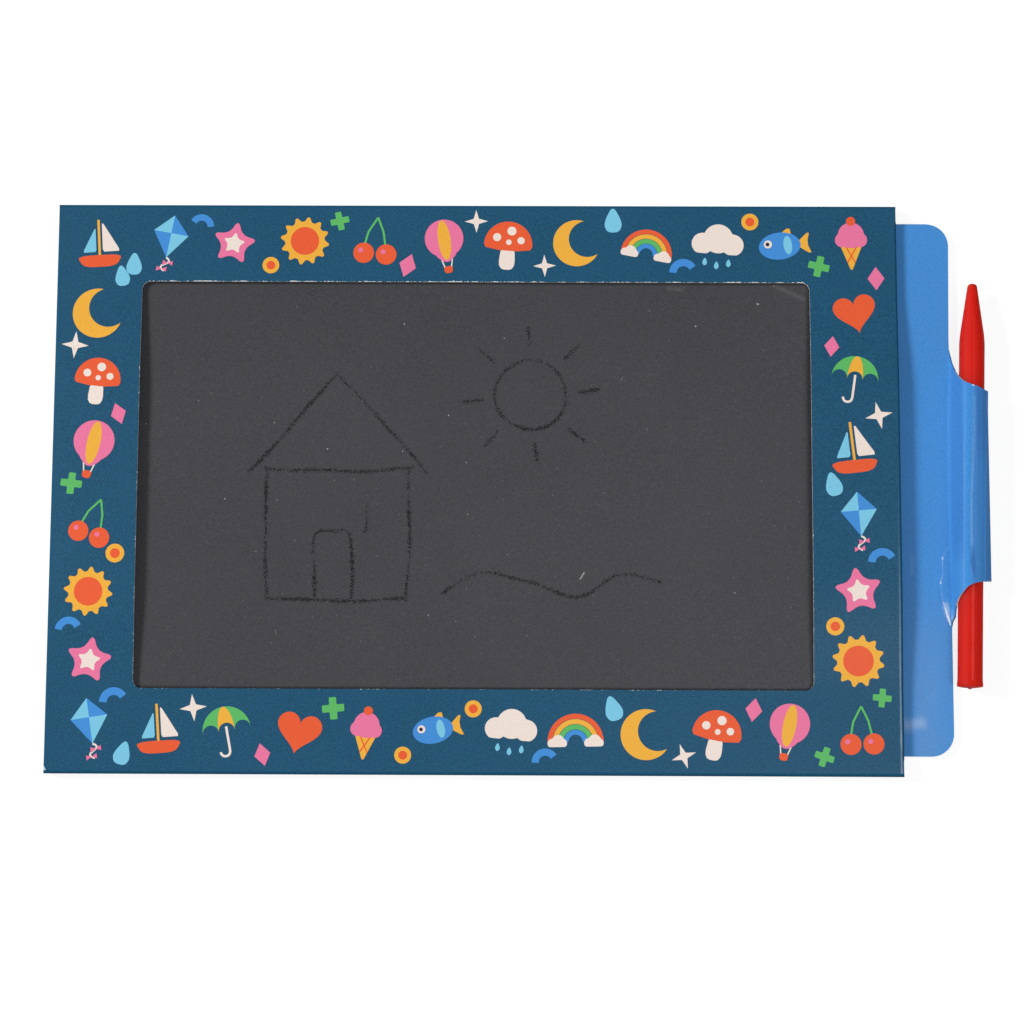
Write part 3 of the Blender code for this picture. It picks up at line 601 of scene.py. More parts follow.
def make_blue_card():
    """Coated blue card, with painted shade and painted light on the faces of the creased pen loop; places are
    in millimetres.
    """
    material, tree, place, coat = coated_card("coated blue card", BLUE, 0.08, 0.55, 0.54, 0.3)
    x, y, z = [part / MM for part in split(place)]
    above_tab = between(z, TAB_TOP / MM + 0.5, TAB_TOP / MM + 1.6)
    past_dent = x + y * 0.317 - 109.3
    along_ridge = x - y * 0.03
    # Painted shade and light on the pen loop: its left slope, the side past the dent, the ridge and the upper
    # flank are darkened, and its far side is lightened
    far_side_light = between(x, 117.8, 119.3) * between(y, 16, -6)
    dent_side_shade = between(past_dent, -0.1, 0.5) * between(y, -13, -18) * between(x, 117.1, 116.3)
    ridge_shade = between(along_ridge, 116.1, 116.8) * between(along_ridge, 118.2, 116.9)
    painted_loop_light_and_shade = [(above_tab * between(x, 114.8, 114.0) * between(y, -20, -12), (0.80, 0.84, 0.92)),
                  (above_tab * dent_side_shade, (0.72, 0.69, 0.75)),
                  (above_tab * ridge_shade, (0.79, 0.78, 0.83)),
                  (above_tab * between(x, 117.2, 117.8) * between(y, 2, 14), (0.80, 0.82, 0.92)),
                  (far_side_light, (1.0, 1.15, 1.28)),
                  (far_side_light * between(z, 4.8, 4.5), (1.0, 1.14, 1.20))]
    colour = coat["Colour"]
    for mask, tone in painted_loop_light_and_shade:
        colour = mix(mask, colour, (*tone, 1), "MULTIPLY")
    # Painted sheen on the lower tab, kept right of the mouth's shadow
    lower_tab_sheen = between(y, -20, -46) * (noise(place, 60.0, 3.0) * 0.16 + 0.06)
    lower_tab_sheen *= between(x, 101, 104.5) * between(x, 115, 105)
    colour = mix(lower_tab_sheen, colour, linear(SHEEN_GREY))
    # Painted shade along two creases of the tab
    colour = mix(wear_and_light_lines(tree, CARD_CREASES, 0.5, 1.0), colour, CREASE_SHADE, "MULTIPLY")
    # Smears, with a painted sheen on the lower tab and a painted highlight along the pen loop's top
    colour = mix(wear_and_light_lines(tree, CARD_SMEARS_AND_HIGHLIGHTS, 0.4, 1.0), colour, linear(RUBBED_AND_LIT_BLUE))
    scuff = zip(SCUFF_POINTS, SCUFF_POINTS[1:], SCUFF_WIDTHS, SCUFF_STRENGTHS)
    worn = wear_and_light_lines(tree, [*scuff, *CARD_CHIPS], 0.9)
    return wear_to_core(material, colour, coat["Roughness"], worn, RUBBED_AND_LIT_BLUE)


def make_wax_black():
    """Black wax with paler streaks along the way the slider is pulled."""
    material, _, place = new_material("black waxed board")
    streaks = noise(stretched(place, (0.16, 1.0, 1.0)), 420.0, 4.0, 0.65)
    smear = noise(place, 45.0, 3.0, 0.55)
    rubbed = between(streaks, 0.42, 0.72) * between(smear, 0.30, 0.70)
    return set_finish(material, mix(rubbed, linear(WAX_BLACK), linear(WAX_BLACK, 1.6)), rubbed * 0.12 + 0.38,
                      (noise(place, 2100.0, 3.0, 0.7), 0.3, 0.03))


def stylus_point(along, beside):
    """A place in plan beside the stylus's axis, in millimetres from its middle."""
    place = stylus_centre / MM + stylus_axis * along + stylus_across * beside
    return place.x, place.y


def make_red_plastic():
    """Moulded plastic that lets some light in, with flow lines, painted shading that is lighter on the right
    of the axis, and a pale mould seam along its top that is partly a painted highlight.
    """
    material, tree, place = new_material("moulded red plastic")
    flow = noise(stretched(place, (1.0, 0.12, 1.0)), 900.0, 3.0, 0.6)
    broad = noise(place, 120.0, 3.0)
    beside = vector("DOT_PRODUCT", vector("SUBTRACT", place, stylus_centre), stylus_across, "Value")
    # Painted shading: lighter on the stylus's right side, darker on its left
    shade = 1.0 + (broad - 0.5) * 0.10 + (flow - 0.5) * 0.08 + beside * (0.11 / (3 * MM))
    # Mould seam along the top, partly a painted highlight
    seam_highlight = wear_and_light_lines(tree, [(stylus_point(-46, 0.1), stylus_point(-2, 0.1), 0.42, 0.20),
                             (stylus_point(-2, 0.1), stylus_point(40, 0.0), 0.35, 0.06)], 0.6, 1.0)
    set_values(tree.nodes["Principled BSDF"], Subsurface_Weight=0.95, Subsurface_Radius=(1.0, 0.2, 0.12),
               Subsurface_Scale=7.0 * MM)
    return set_finish(material, mix(seam_highlight, shaded(linear(RED), shade), linear(SEAM_HIGHLIGHT_PINK)),
                      (flow - 0.5) * 0.16 + 0.60, (flow, 0.12, 0.03), 0.12)


def make_patchy(name, colour, dark, pattern, roughness, bump):
    """A finish whose tone, roughness and relief all follow one pattern: (stretch, scale, detail)."""
    material, _, place = new_material(name)
    stretch, scale, detail = pattern
    patches = noise(stretched(place, stretch), scale, detail, 0.6)
    least, span = roughness
    return set_finish(material, mix(patches, linear(colour, dark), linear(colour)), patches * span + least,
                      (patches, *bump))


# Mottle, grain, roughness and gloss of printed ink, and of a coat that has gone matt along a fold
PRINTED = (0.08, 0.35, 0.36, 0.3)
FOLDED = (0.10, 0.6, 0.62, 0.04)

TEAL_CARD = make_teal_card()
CUT_EDGE = make_plain_card("cut card edge", CARD_CORE)
UNPRINTED = make_plain_card("unprinted card", BARE_CARD)
FILM = make_film_grey()
DRAWN_LINE = make_drawn_line()
BLUE_CARD = make_blue_card()
TEAL_FOLD = coated_card("folded teal card", TEAL, *FOLDED)[0]
BLUE_FOLD = coated_card("folded blue card", BLUE, *FOLDED)[0]
WAX = make_wax_black()
RED_PLASTIC = make_red_plastic()
GLUE = make_patchy("dried glue", GLUE_CREAM, 0.85, ((1, 1, 1), 300.0, 4.0), (0.4, 0.4), (0.4, 0.05))
CLEAR_TAPE = make_patchy("clear tape", TAPE_CLEAR, 0.86, ((14, 1, 1), 120.0, 3.0), (0.12, 0.2), (0.15, 0.02))
INK_MATERIALS = {name: coated_card("ink " + name, INKS[name], *PRINTED)[0] for name in INKS}


# Sleeve

def sleeve_surface(centre, normal):
    """0 printed side, 1 cut edge, 2 unprinted side, 3 fold."""
    flat = abs(normal.z) > 0.995
    at_window = all(abs(centre[axis] - window_centre[axis]) < window_half[axis] + 0.3 * MM for axis in (0, 1))
    if at_window and centre.z > FRONT_TOP - 1.5 * MM and not flat:
        return 1
    if flat and any(abs(centre.z - level * MM) < 0.02 * MM and normal.z * way > 0
                    for level, way in UNPRINTED_SIDES):
        on_lip = centre.x > half_length - LIP_REACH and abs(centre.z - LIP_HEIGHT * MM) < 0.1 * MM
        return 0 if on_lip else 2
    inside = abs(centre.x) < half_length - 2 * MM and abs(centre.y) < half_height - 2 * MM
    if inside:
        return 1 if abs(normal.z) < 0.3 else 0
    return 0 if flat else 3


def press_corner(vertex):
    """Draws the front panel's corners in to the folds beside them and closes the slit between."""
    x, y, z = vertex.co
    if abs(x) < half_length - 0.6 * MM or abs(y) < SLIT_PLACE or z < FRONT_TOP - 0.5 * MM:
        return
    at_edge = abs(x) > half_length - 0.05 * MM
    if at_edge:
        vertex.co.x = math.copysign(half_length - CORNER_DRAWN_IN, x)
    if abs(y) < SLIT_PLACE + 0.1 * MM:
        vertex.co.y = math.copysign(SLIT_PLACE - (0.075 if at_edge else 0.03) * MM, y)


def make_printed_sleeve():
    sleeve = copy_of_node("sleeve", "printed_sleeve")
    paint_faces(sleeve, [TEAL_CARD, CUT_EDGE, UNPRINTED, TEAL_FOLD], sleeve_surface)
    cut_into_grid(sleeve, sleeve_low, sleeve_high, PANEL_CUT)
    for vertex in sleeve.data.vertices:
        if vertex.co.z > FRONT_TOP - 1.3 * MM:
            press_corner(vertex)
            vertex.co.z += front_lift(vertex.co.x, vertex.co.y)
    soften_shading(sleeve)
    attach(sleeve, "sleeve")
    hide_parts("sleeve")


# Border print: generic motifs, drawn in millimetres about their own middle

def round_arc(centre, radius, start, end, count):
    """Points of an arc, from one angle in degrees to the other."""
    angles = [math.radians(start + (end - start) * step / count) for step in range(count + 1)]
    return [(centre[0] + radius * math.cos(a), centre[1] + radius * math.sin(a)) for a in angles]


def disc(x, y, radius, stretch=1.0, count=28):
    ring = round_arc((0, 0), radius, 0, 360 - 360 / count, count - 1)
    return [(x + px, y + py * stretch) for px, py in ring]


def star_shape(points, outer, inner):
    outline = []
    for step in range(2 * points):
        angle = math.pi / 2 + math.pi * step / points
        radius = inner if step % 2 else outer
        outline.append((radius * math.cos(angle), radius * math.sin(angle)))
    return outline


def soften(outline, rounds=2, share=0.22):
    """Rounds an outline's corners by cutting them off."""
    for _ in range(rounds):
        cut = []
        for (x0, y0), (x1, y1) in zip(outline, outline[1:] + outline[:1]):
            cut.append((x0 + (x1 - x0) * share, y0 + (y1 - y0) * share))
            cut.append((x1 - (x1 - x0) * share, y1 - (y1 - y0) * share))
        outline = cut
    return outline


def puffs(circles, floor=-99.0, count=72):
    """Outline of overlapping discs, seen from the origin, cut off level at the floor."""
    outline = []
    for step in range(count):
        angle = 2 * math.pi * step / count
        ux, uy = math.cos(angle), math.sin(angle)
        reach = 0.0
        for x, y, radius in circles:
            middle = x * ux + y * uy
            inside = radius ** 2 - (x * x + y * y - middle ** 2)
            if inside > 0:
                reach = max(reach, middle + math.sqrt(inside))
        if uy * reach < floor:
            reach = floor / uy
        outline.append((ux * reach, uy * reach))
    return outline


def across_path(path, index):
    """Which way is left of a path, at one of its points."""
    before, after = path[max(index - 1, 0)], path[min(index + 1, len(path) - 1)]
    return (Vector(after) - Vector(before)).normalized().orthogonal()


def band(path, width):
    """Outline of a line of even width along a path."""
    steps = [across_path(path, index) * width / 2 for index in range(len(path))]
    left = [Vector(point) + step for point, step in zip(path, steps)]
    right = [Vector(point) - step for point, step in zip(path, steps)]
    return right + left[::-1]


def heart_outline():
    outline = []
    for step in range(40):
        t = 2 * math.pi * step / 40
        outline.append((0.33 * 16 * math.sin(t) ** 3,
                        0.33 * (13 * math.cos(t) - 5 * math.cos(2 * t) - 2 * math.cos(3 * t)
                                - math.cos(4 * t)) + 0.6))
    return outline


def kite_layers():
    top, right, foot, left, middle = (0, 7.0), (4.2, 2.6), (0, -3.4), (-4.2, 2.6), (0, 2.6)
    tail = [(0.9 * math.sin(step * 0.8), -3.4 - step * 0.42) for step in range(9)]
    bows = [[(x, y), (x + 1.2, y + 0.7), (x + 1.2, y - 0.5)] for x, y in (tail[3], tail[7])]
    bows += [[(x, y), (x - 1.2, y + 0.5), (x - 1.2, y - 0.7)] for x, y in (tail[3], tail[7])]
    return [("cream", band(tail, 0.45)), ("sky", [top, left, middle]), ("blue", [top, middle, right]),
            ("blue", [left, foot, middle]), ("sky", [middle, foot, right]), *[("pink", bow) for bow in bows]]


def umbrella_layers():
    scallops = []
    for x in (3.7, 0.0, -3.7):
        scallops += [(x + 1.85, 0.0)] + round_arc((x, 0.0), 1.85, 20, 160, 6)
    canopy = round_arc((0, 0), 5.55, 0, 180, 28) + scallops[::-1]
    panel = [(x, y) for x, y in disc(0, 0, 1.85, 3.0) if y >= 0] + round_arc((0, 0), 1.85, 160, 20, 6)
    handle = [(0, 1.0), (0, -4.6)] + round_arc((-1.1, -4.6), 1.1, -30, -180, 8)
    return [("cream", band(handle, 0.55)), ("green", canopy), ("sunny", panel)]


def rainbow_layers():
    stripes = [(ink, round_arc((0, -2.0), outer, 0, 180, 20) + round_arc((0, -2.0), outer - 1.1, 180, 0, 20))
               for ink, outer in (("coral", 6.3), ("sunny", 5.1), ("green", 3.9), ("blue", 2.7))]
    cloud = puffs([(-1.1, 0.0, 1.1), (0.2, 0.5, 1.4), (1.2, 0.0, 1.0)], -0.8, 40)
    return stripes + [("cream", [(x + side * 4.1, y - 2.3) for x, y in cloud]) for side in (-1, 1)]


# Layers of each motif from the lowest up: (ink, outline)
LARGE_MOTIFS = {
    "sailboat": [
        ("coral", soften([(-5.8, -2.6), (5.8, -2.6), (4.0, -5.6), (-4.0, -5.6)], 2, 0.18)),
        ("sunny", band([(0, -2.6), (0, 6.4)], 0.6)),
        ("cream", soften([(0.8, 6.0), (0.8, -1.8), (5.2, -1.8)], 1, 0.08)),
        ("sky", soften([(-0.8, 4.6), (-4.2, -1.8), (-0.8, -1.8)], 1, 0.08))],
    "sun": [("sunny", soften(star_shape(12, 6.4, 4.5), 1)), ("coral", disc(0, 0, 3.5))],
    "toadstool": [
        ("cream", soften([(-1.5, 0.4), (1.5, 0.4), (2.0, -5.6), (-2.0, -5.6)])),
        ("coral", [*round_arc((0, 0.2), 5.6, 0, 180, 28),
                   (-5.2, -0.6), (-2.0, -1.1), (2.0, -1.1), (5.2, -0.6)]),
        ("cream", disc(-2.7, 1.9, 0.95)), ("cream", disc(0.6, 3.6, 1.05)),
        ("cream", disc(2.9, 1.5, 0.85)), ("cream", disc(0.1, 0.9, 0.65))],
    "rain_cloud": [
        ("cream", puffs([(-3.4, 0.0, 2.6), (0.2, 1.4, 3.5), (3.7, 0.1, 2.6)], -2.3)),
        *[("sky", soften([(x, y + 1.5), (x - 0.7, y), (x, y - 0.8), (x + 0.7, y)]))
          for x, y in ((-2.6, -4.6), (0.2, -5.3), (3.0, -4.6))]],
    "heart": [("coral", heart_outline())],
    "kite": kite_layers(),
    "cherries": [
        ("green", band([(-2.5, -1.2), (-1.4, 2.2), (1.0, 5.6)], 0.5)),
        ("green", band([(2.6, -1.8), (2.2, 2.0), (1.0, 5.6)], 0.5)),
        ("coral", disc(-2.7, -3.0, 2.5)), ("coral", disc(2.7, -3.6, 2.5)),
        ("pink", disc(-3.4, -2.3, 0.6)), ("pink", disc(2.0, -2.9, 0.6))],
    "moon": [("sunny", [*round_arc((0, 0), 5.7, 69.6, 328.4, 36),
                        *round_arc((2.6, 0.9), 4.45, 299.0, 99.0, 30)[1:-1]])],
    "fish": [
        ("sunny", soften([(2.6, 0), (6.4, 3.0), (5.4, 0), (6.4, -3.0)], 1)),
        ("sunny", soften([(-1.6, 2.2), (1.8, 4.4), (2.0, 1.8)], 1)),
        ("blue", disc(-1.0, 0, 4.9, 0.66)), ("sky", disc(0.9, 0, 1.0, 2.2)),
        ("cream", disc(-3.7, 0.7, 0.95)), ("night", disc(-3.8, 0.7, 0.45))],
    "umbrella": umbrella_layers(),
    "pink_star": [("pink", soften(star_shape(5, 6.0, 2.9))), ("cream", soften(star_shape(5, 3.0, 1.45)))],
    "hot_air_balloon": [
        ("cream", band([(-1.3, -3.2), (-0.8, -5.2)], 0.3)), ("cream", band([(1.3, -3.2), (0.8, -5.2)], 0.3)),
        ("pink", puffs([(0, 2.0, 4.7), (0, -0.9, 2.7), (0, -2.2, 1.7)])),
        ("sunny", disc(0, 1.55, 1.55, 3.2)),
        ("coral", soften([(-1.1, -5.0), (1.1, -5.0), (0.9, -6.7), (-0.9, -6.7)], 1))],
    "rainbow": rainbow_layers(),
    "ice_cream": [
        ("sunny", soften([(-2.9, 0.6), (2.9, 0.6), (0, -6.6)], 1, 0.08)),
        ("coral", band([(-1.7, 0.2), (0.9, -4.4)], 0.28)), ("coral", band([(1.7, 0.2), (-0.9, -4.4)], 0.28)),
        ("pink", puffs([(-2.0, 0.9, 1.7), (0, 2.0, 3.0), (2.0, 0.9, 1.7)])),
        ("coral", disc(0, 5.3, 1.05))],
}
SMALL_MOTIFS = {
    "rain_drop": [("sky", soften([(0, 3.8), (-2.1, -0.4), (-1.3, -2.4), (1.3, -2.4), (2.1, -0.4)]))],
    "spark": [("cream", star_shape(4, 3.0, 0.95))],
    "diamond": [("pink", [(0, 2.7), (-1.9, 0), (0, -2.7), (1.9, 0)])],
    "small_plus": [("green", soften([
        (0.8, 2.4), (-0.8, 2.4), (-0.8, 0.8), (-2.4, 0.8), (-2.4, -0.8), (-0.8, -0.8),
        (-0.8, -2.4), (0.8, -2.4), (0.8, -0.8), (2.4, -0.8), (2.4, 0.8), (0.8, 0.8)], 1, 0.1))],
    "bead": [("sunny", disc(0, 0, 2.1)), ("coral", disc(0, 0, 1.1))],
    "blue_bean": [("blue", band(round_arc((0, -1.6), 2.4, 15, 165, 14), 1.7))],
}
MOTIFS_ACROSS, MOTIFS_UP = 11, 7
MOTIF_REACH = 10 * MM
MOTIF_DRIFT = 0.8
SMALL_MOTIF_SHIFT = 5.4 * MM


def border_places():
    """Middles of the large motifs, in order round the border."""
    left, low = [(sleeve_low[axis] + window_low[axis]) / 2 for axis in (0, 1)]
    right, high = [(sleeve_high[axis] + window_high[axis]) / 2 for axis in (0, 1)]
    corners = [(left, high), (right, high), (right, low), (left, low)]
    counts = (MOTIFS_ACROSS, MOTIFS_UP, MOTIFS_ACROSS, MOTIFS_UP)
    return [(x0 + (x1 - x0) * step / count, y0 + (y1 - y0) * step / count)
            for (x0, y0), (x1, y1), count in zip(corners, corners[1:] + corners[:1], counts)
            for step in range(count)]


def make_motif(name, layers):
    """A motif as one piece at the origin, its layers of ink one above the other."""
    shapes = []
    for layer, (ink, outline) in enumerate(layers):
        shape = new_piece(bpy.ops.mesh.primitive_circle_add, name, vertices=len(outline), radius=MM,
                          fill_type="NGON")
        for vertex, (x, y) in zip(shape.data.vertices, outline):
            vertex.co = (x * MM, y * MM, FRONT_TOP - INK_SINK)
        thicken(shape, INK_SINK + INK_THICK + layer * INK_STEP)
        shape.data.materials.append(INK_MATERIALS[ink])
        shapes.append(shape)
    return join(name, shapes)


def print_motif(name, layers, places):
    """Copies a motif to its places on the sleeve: (x, y, turn in degrees, size)."""
    motif = make_motif(name, layers)
    cut_into_grid(motif, (-MOTIF_REACH, -MOTIF_REACH), (MOTIF_REACH, MOTIF_REACH), PANEL_CUT)
    copies = []
    for x, y, turn, size in places:
        copy = motif.copy()
        copy.data = motif.data.copy()
        bpy.context.scene.collection.objects.link(copy)
        spin = Matrix.Rotation(math.radians(turn), 4, "Z")
        copy.data.transform(Matrix.Translation((x, y, 0)) @ spin @ Matrix.Diagonal((size, size, 1, 1)))
        copies.append(copy)
    bpy.data.objects.remove(motif)
    printed = join("print_" + name, copies)
    for vertex in printed.data.vertices:
        vertex.co.z += front_lift(vertex.co.x, vertex.co.y)
    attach(printed, "sleeve")


def make_border_print():
    rng = random.Random(7)
    large, small = list(LARGE_MOTIFS), list(SMALL_MOTIFS)
    wanted = {name: [] for name in large + small}
    ring = border_places()
    for index, (x, y) in enumerate(ring):
        wanted[large[(index * 5) % len(large)]].append(
            (x + rng.uniform(-MOTIF_DRIFT, MOTIF_DRIFT) * MM, y + rng.uniform(-MOTIF_DRIFT, MOTIF_DRIFT) * MM,
             rng.uniform(-12, 12), rng.uniform(0.95, 1.05)))
    for index, ((x0, y0), (x1, y1)) in enumerate(zip(ring, ring[1:] + ring[:1])):
        side = SMALL_MOTIF_SHIFT * (1 if index % 2 else -1)
        sideways = (0, side) if abs(x1 - x0) > abs(y1 - y0) else (side, 0)
        wanted[small[(index * 5 + index // 6) % len(small)]].append(
            ((x0 + x1) / 2 + sideways[0], (y0 + y1) / 2 + sideways[1],
             rng.uniform(-20, 20), rng.uniform(0.9, 1.1)))
    for name, layers in {**LARGE_MOTIFS, **SMALL_MOTIFS}.items():
        print_motif(name, layers, wanted[name])


# Writing film and the drawing on it

def film_ripple(x, y):
    """Slight waves of the film over the board."""
    return 0.02 * MM * (math.sin(x * 140 + 1.0) * math.sin(y * 170) + math.sin(x * 61 - y * 83))


def film_lift(x, y):
    """The film's taped and tucked ends follow the front panel."""
    outside = max(smooth_step(window_high.x + 2 * MM, window_high.x + 9 * MM, x),
                  smooth_step(-window_low.x + 2 * MM, -window_low.x + 8 * MM, -x))
    return film_ripple(x, y) * (1 - outside) + front_lift(x, y) * outside


def make_film():
    film = copy_of_node("writing_film", "writing_film_sheet")
    cut_into_grid(film, film_low, film_high, FILM_CUT)
    for vertex in film.data.vertices:
        vertex.co.z += film_lift(vertex.co.x, vertex.co.y)
    film.data.materials.append(FILM)
    soften_shading(film)
    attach(film, "sleeve")
    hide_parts("writing_film")


def smooth_path(points, spacing):
    """Points at even spacing along a smooth curve through the given ones."""
    knots = [Vector(point) for point in (points[0], *points, points[-1])]
    path = []
    for before, start, end, after in zip(knots, knots[1:], knots[2:], knots[3:]):
        count = max(int((end - start).length / spacing), 1)
        for t in [step / count for step in range(count)]:
            path.append(0.5 * (2 * start + (end - before) * t
                               + (2 * before - 5 * start + 4 * end - after) * t ** 2
                               + (3 * start - before - 3 * end + after) * t ** 3))
    return path + [knots[-1]]


# A child's house under the sun, in millimetres on the film. Lines that cross lie on different layers
STROKES = [
    [(-49, 4), (-49.4, -9), (-48.8, -27)],
    [(-49.5, -26.4), (-33, -27.2), (-15.6, -26.6)],
    [(-16, -27.4), (-15.4, -10), (-16, 5)],
    [(-33.4, 27.2), (-22, 15.4), (-11, 2.6)],
    [(-53.6, 3), (-43, 15), (-32.6, 27.6)],
    [(-50, 4.2), (-32, 3.5), (-14.4, 4.3)],
    [(-37.6, -27), (-37.9, -18), (-37.4, -11.6), (-33.2, -10.8), (-29.2, -11.8), (-29, -26.8)],
    [(-25.6, -4), (-25.8, -11.4)],
    round_arc((13, 22), 8.4, 70, 425, 14),
    [(24, 22.6), (29.4, 23.4)], [(21, 30.4), (24.8, 34.2)], [(12.6, 33.6), (12.2, 38.4)],
    [(4.6, 29.6), (0.8, 33)], [(2.0, 20.8), (-3.2, 20)], [(5.6, 13.4), (2.0, 9.4)],
    [(14, 10.6), (14.6, 5.8)], [(21.8, 14.2), (26, 10.6)],
    [(-8, -25.6), (2, -20.4), (13, -22.8), (24, -26), (34, -21), (44, -22.4)],
]
STROKE_STEP, STROKE_HALF_WIDTH = 0.9, 0.62
STROKE_THICK, STROKE_LAYER = 0.008 * MM, 0.009 * MM


def make_stroke(points, layer, rng):
    """One drawn line: a thin ribbon with a hand's wobble and uneven width."""
    path = smooth_path(points, STROKE_STEP)
    sway, phase = rng.uniform(0.10, 0.22), rng.uniform(0, 6)
    columns = len(path)
    ribbon = new_piece(bpy.ops.mesh.primitive_grid_add, "drawn_line", x_subdivisions=columns - 1,
                       y_subdivisions=1, size=MM)
    for index, point in enumerate(path):
        across = across_path(path, index)
        wobble = across * sway * math.sin(index * 0.31 + phase)
        width = STROKE_HALF_WIDTH + 0.08 * math.sin(index * 0.9 + phase)
        if index in (0, columns - 1):
            width *= 0.45
        for row, side in ((0, -1), (1, 1)):
            place = (point + wobble + across * side * width) * MM
            lift = film_ripple(place.x, place.y) + FILM_TOP + 0.004 * MM + STROKE_LAYER * layer
            ribbon.data.vertices[row * columns + index].co = (place.x, place.y, lift)
    thicken(ribbon, STROKE_THICK)
    return ribbon


def make_drawing():
    rng = random.Random(3)
    drawing = join("drawn_lines", [make_stroke(points, index % 2, rng)
                                   for index, points in enumerate(STROKES)])
    drawing.data.materials.append(DRAWN_LINE)
    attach(drawing, "sleeve")


# Pull card with its tab and pen loop

def card_surface(centre, normal):
    """0 coated side, 1 cut edge, 2 creases of the loop."""
    if abs(normal.y) > 0.6:
        return 1
    on_tab_rim = abs(normal.z) < 0.1 and TAB_TOP - 0.45 * MM < centre.z < TAB_TOP + 0.01 * MM
    if on_tab_rim and centre.x < TAB_EDGE + 0.1 * MM:
        return 1
    crease = -0.65 < normal.x < -0.05 and centre.z > TAB_TOP - 0.1 * MM
    right_fold = normal.x > 0.8 and centre.x > TAB_EDGE
    return 2 if crease or right_fold else 0


def soft_bump(value, centre, reach):
    """1 at the centre, falling smoothly to 0 at the reach on both sides."""
    return smooth_step(0.0, 1.0, 1 - abs(value - centre) / reach)


def over_tab(vertex):
    """A place on the pull card in millimetres, with its height counted from the tab's top."""
    return vertex.co.x / MM, vertex.co.y / MM, (vertex.co.z - TAB_TOP) / MM


# Where handling has bent the pull card: (middle, reach) of each bend and its depth, in millimetres
DENT_ACROSS, DENT_ALONG, DENT_DEPTH = (114.7, 2.0), (-19.5, 8.0), 0.50
CREASE_ALONG, CREASE_SHIFT = (-25.5, 14), 0.08
CURL_ALONG, CURL_DEPTH = (-46, 16), 0.22


def handle_card(vertex):
    """Dents the pen loop's left crease at its lower end, and lets the tab curl beside the mouth."""
    x, y, z = over_tab(vertex)
    if z > 4.2:
        dent = DENT_DEPTH * MM * soft_bump(x, *DENT_ACROSS) * soft_bump(y, *DENT_ALONG)
        vertex.co += Vector((0.45, 0, -0.9)) * dent
    elif z > 1.0 and x < 114:
        vertex.co.x -= CREASE_SHIFT * MM * soft_bump(y, *CREASE_ALONG)
    elif abs(z) < 0.5:
        curl = smooth_step(99.5, 104, x) * smooth_step(-110, -106, -x) * soft_bump(y, *CURL_ALONG)
        vertex.co.z -= CURL_DEPTH * MM * curl


def trim_edge(vertex):
    """Turns the tab's outer edge a little, and draws the loop's lower fillet down along the stylus."""
    x, y, z = over_tab(vertex)
    if z < -0.5:
        return
    if z < 0.5:
        turn = 0.36 * smooth_step(28, 56, y) - 0.34 * smooth_step(23, 30, -y)
        turn -= 0.25 * soft_bump(y, -28.8, 4)
        vertex.co.x += turn * MM * smooth_step(104, 110, x)
    lower = 0.6 * smooth_step(-120.6, -118.6, -x) + 1.1 * smooth_step(-115.6, -113.0, -x)
    lower *= smooth_step(16, 22, -y) * smooth_step(-38, -28, y)
    upper = 0.25 + 0.55 * smooth_step(117.5, 120.3, x)
    upper *= smooth_step(16, 21, y) * smooth_step(-30, -25, -y)
    vertex.co.y -= (lower + upper) * MM * smooth_step(111.2, 112.6, x)


def make_pull_card():
    card = copy_of_node("slider_card", "pull_card")
    paint_faces(card, [BLUE_CARD, CUT_EDGE, BLUE_FOLD], card_surface)
    cut_into_strips(card, 0, 98 * MM, 110 * MM, 1.5 * MM)
    cut_into_strips(card, 1, -61.5 * MM, -25.5 * MM, 3 * MM)
    for vertex in card.data.vertices:
        handle_card(vertex)
        trim_edge(vertex)
    soften_shading(card, 38)
    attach(card, "slider")
    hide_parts("slider_card")


# Stylus

STYLUS_SIDES = 72
BUTT_RADIUS, FOOT_RADIUS, SHOULDER_RADIUS = 3.03, 2.91, 2.985
NUB_RADIUS, NUB_LENGTH, BUTT_ROUND = 0.4, 0.2, 0.3
TAPER_LENGTH, TAPER_ROUND = 13.5, 1.7
TIP_RADIUS, TIP_LENGTH = 1.15, 0.8
TIP_ROUND = [(0.62, 0.97), (0.36, 0.84), (0.14, 0.58), (0.03, 0.28), (0.005, 0.1)]


def stylus_rings(length):
    """(place along the stylus, radius) of each ring after the nub's end, in millimetres."""
    rings = [(NUB_LENGTH, NUB_RADIUS), (0.24, 1.1), (0.36, 2.0), (0.50, 2.73)]
    rings += [(y, x) for x, y in round_arc((BUTT_RADIUS - BUTT_ROUND, 0.8), BUTT_ROUND, -68, 0, 4)]
    rings += [(1.3, BUTT_RADIUS - 0.03), (1.9, FOOT_RADIUS + 0.03), (3.1, FOOT_RADIUS)]
    end = length / MM
    taper_start, tip_start = end - TAPER_LENGTH, end - TIP_LENGTH
    slope = (SHOULDER_RADIUS - TIP_RADIUS) / (TAPER_LENGTH - TIP_LENGTH)
    for step in range(9):
        share = step / 8
        rings.append((taper_start + TAPER_ROUND * (2 * share - 1),
                      SHOULDER_RADIUS - slope * TAPER_ROUND * share ** 2))
    rings += [(tip_start - 5.0, TIP_RADIUS + slope * 5.0), (tip_start - 0.1, TIP_RADIUS + slope * 0.1),
              *[(end - back, TIP_RADIUS * share) for back, share in TIP_ROUND]]
    return rings


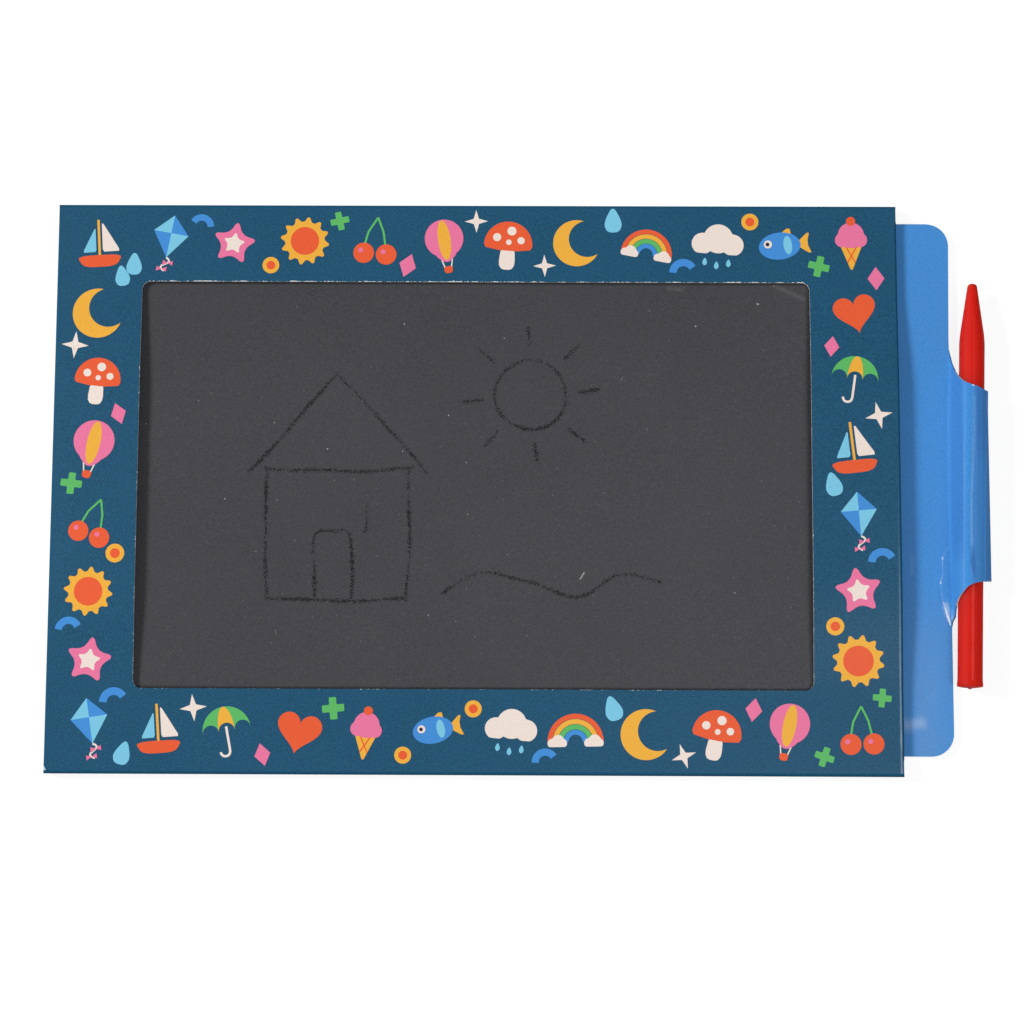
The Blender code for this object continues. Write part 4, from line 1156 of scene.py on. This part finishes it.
def make_stylus():
    length = (stylus_high.y - stylus_low.y) / stylus_axis.y
    stylus = new_piece(bpy.ops.mesh.primitive_circle_add, "stylus_pen", vertices=STYLUS_SIDES,
                       radius=NUB_RADIUS * MM, fill_type="NGON")
    edit(stylus, "FACE")
    bpy.ops.mesh.select_all(action="SELECT")
    height, radius = 0.0, NUB_RADIUS
    for place, ring in stylus_rings(length):
        bpy.ops.mesh.extrude_region_move(
            TRANSFORM_OT_translate={"value": (0, 0, place * MM - height)})
        height = place * MM
        scale = ring / radius
        bpy.ops.transform.resize(value=(scale, scale, 1), center_override=(0, 0, height))
        radius = ring
    face_outwards()
    turn = Vector((0, 0, 1)).rotation_difference(stylus_axis).to_matrix().to_4x4()
    stylus.data.transform(Matrix.Translation(stylus_centre) @ turn
                          @ Matrix.Translation((0, 0, -length / 2)))
    stylus.data.materials.append(RED_PLASTIC)
    soften_shading(stylus, 40)
    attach(stylus, "stylus")
    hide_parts("stylus")


# Hidden layers keep their CAD shape

def finish_hidden_layers():
    surfaces = {"wax_board": WAX, "film_tape": CLEAR_TAPE}
    for name, node in frame["nodes"].items():
        surface = GLUE if name.endswith("adhesive") else surfaces.get(name)
        if surface:
            node.data.materials.clear()
            node.data.materials.append(surface)


# Stage: a white table whose own glow lights nothing else, under two softboxes

TABLE_SIZE = 40
TABLE_SHADE = (0.22, 0.22, 0.22, 1)
TABLE_GLOW = 0.85
WORLD_LIGHT = 0.20
WHITE = (1, 1, 1, 1)


def make_floor():
    floor = new_piece(bpy.ops.mesh.primitive_plane_add, "table", size=TABLE_SIZE,
                      location=(0, 0, -0.02 * MM))
    material, tree, _ = new_material("white table")
    shader = tree.nodes["Principled BSDF"]
    set_values(shader, Base_Color=TABLE_SHADE, Roughness=0.9, Specular_IOR_Level=0.0)
    path = fields(tree, "ShaderNodeLightPath")
    seen = strongest([path["Is Camera Ray"], path["Is Glossy Ray"], path["Is Transmission Ray"]])
    glow = field(tree, "ShaderNodeEmission", {"Color": WHITE, "Strength": TABLE_GLOW})
    nothing = field(tree, "ShaderNodeEmission", {"Strength": 0.0})
    chosen = field(tree, "ShaderNodeMixShader", {0: seen, 1: nothing, 2: glow})
    lit = field(tree, "ShaderNodeAddShader", {0: Field(tree, shader.outputs[0]), 1: chosen})
    set_input(tree, tree.nodes["Material Output"].inputs["Surface"], lit)
    floor.data.materials.append(material)


def add_softbox(name, place, size, watts):
    """A round lamp that shines on the origin."""
    lamp = new_piece(bpy.ops.object.light_add, name, type="AREA", location=place)
    lamp.data.shape = "DISK"
    lamp.data.size = size
    lamp.data.energy = watts
    lamp.rotation_euler = (-Vector(place)).to_track_quat("-Z", "Y").to_euler()


def make_light():
    world = bpy.data.worlds.new("studio")
    bpy.context.scene.world = world
    world.use_nodes = True
    set_values(world.node_tree.nodes["Background"], Color=WHITE, Strength=WORLD_LIGHT)
    add_softbox("key_left", (-1.90, 0.58, 1.34), 0.60, 52.0)
    add_softbox("fill_right", (0.57, -0.49, 1.12), 0.90, 7.4)


def make_camera():
    turn = [math.radians(angle) for angle in CAMERA_TURN_DEGREES]
    camera = new_piece(bpy.ops.object.camera_add, "photo_camera", location=CAMERA_PLACE, rotation=turn)
    camera.data.sensor_width = SENSOR_WIDTH
    camera.data.lens = FOCAL_LENGTH_PIXELS / IMAGE_PIXELS * SENSOR_WIDTH
    bpy.context.scene.camera = camera


bpy.context.scene.view_settings.view_transform = "Standard"
make_camera()
make_printed_sleeve()
make_border_print()
make_film()
make_drawing()
make_pull_card()
make_stylus()
finish_hidden_layers()
make_floor()
make_light()
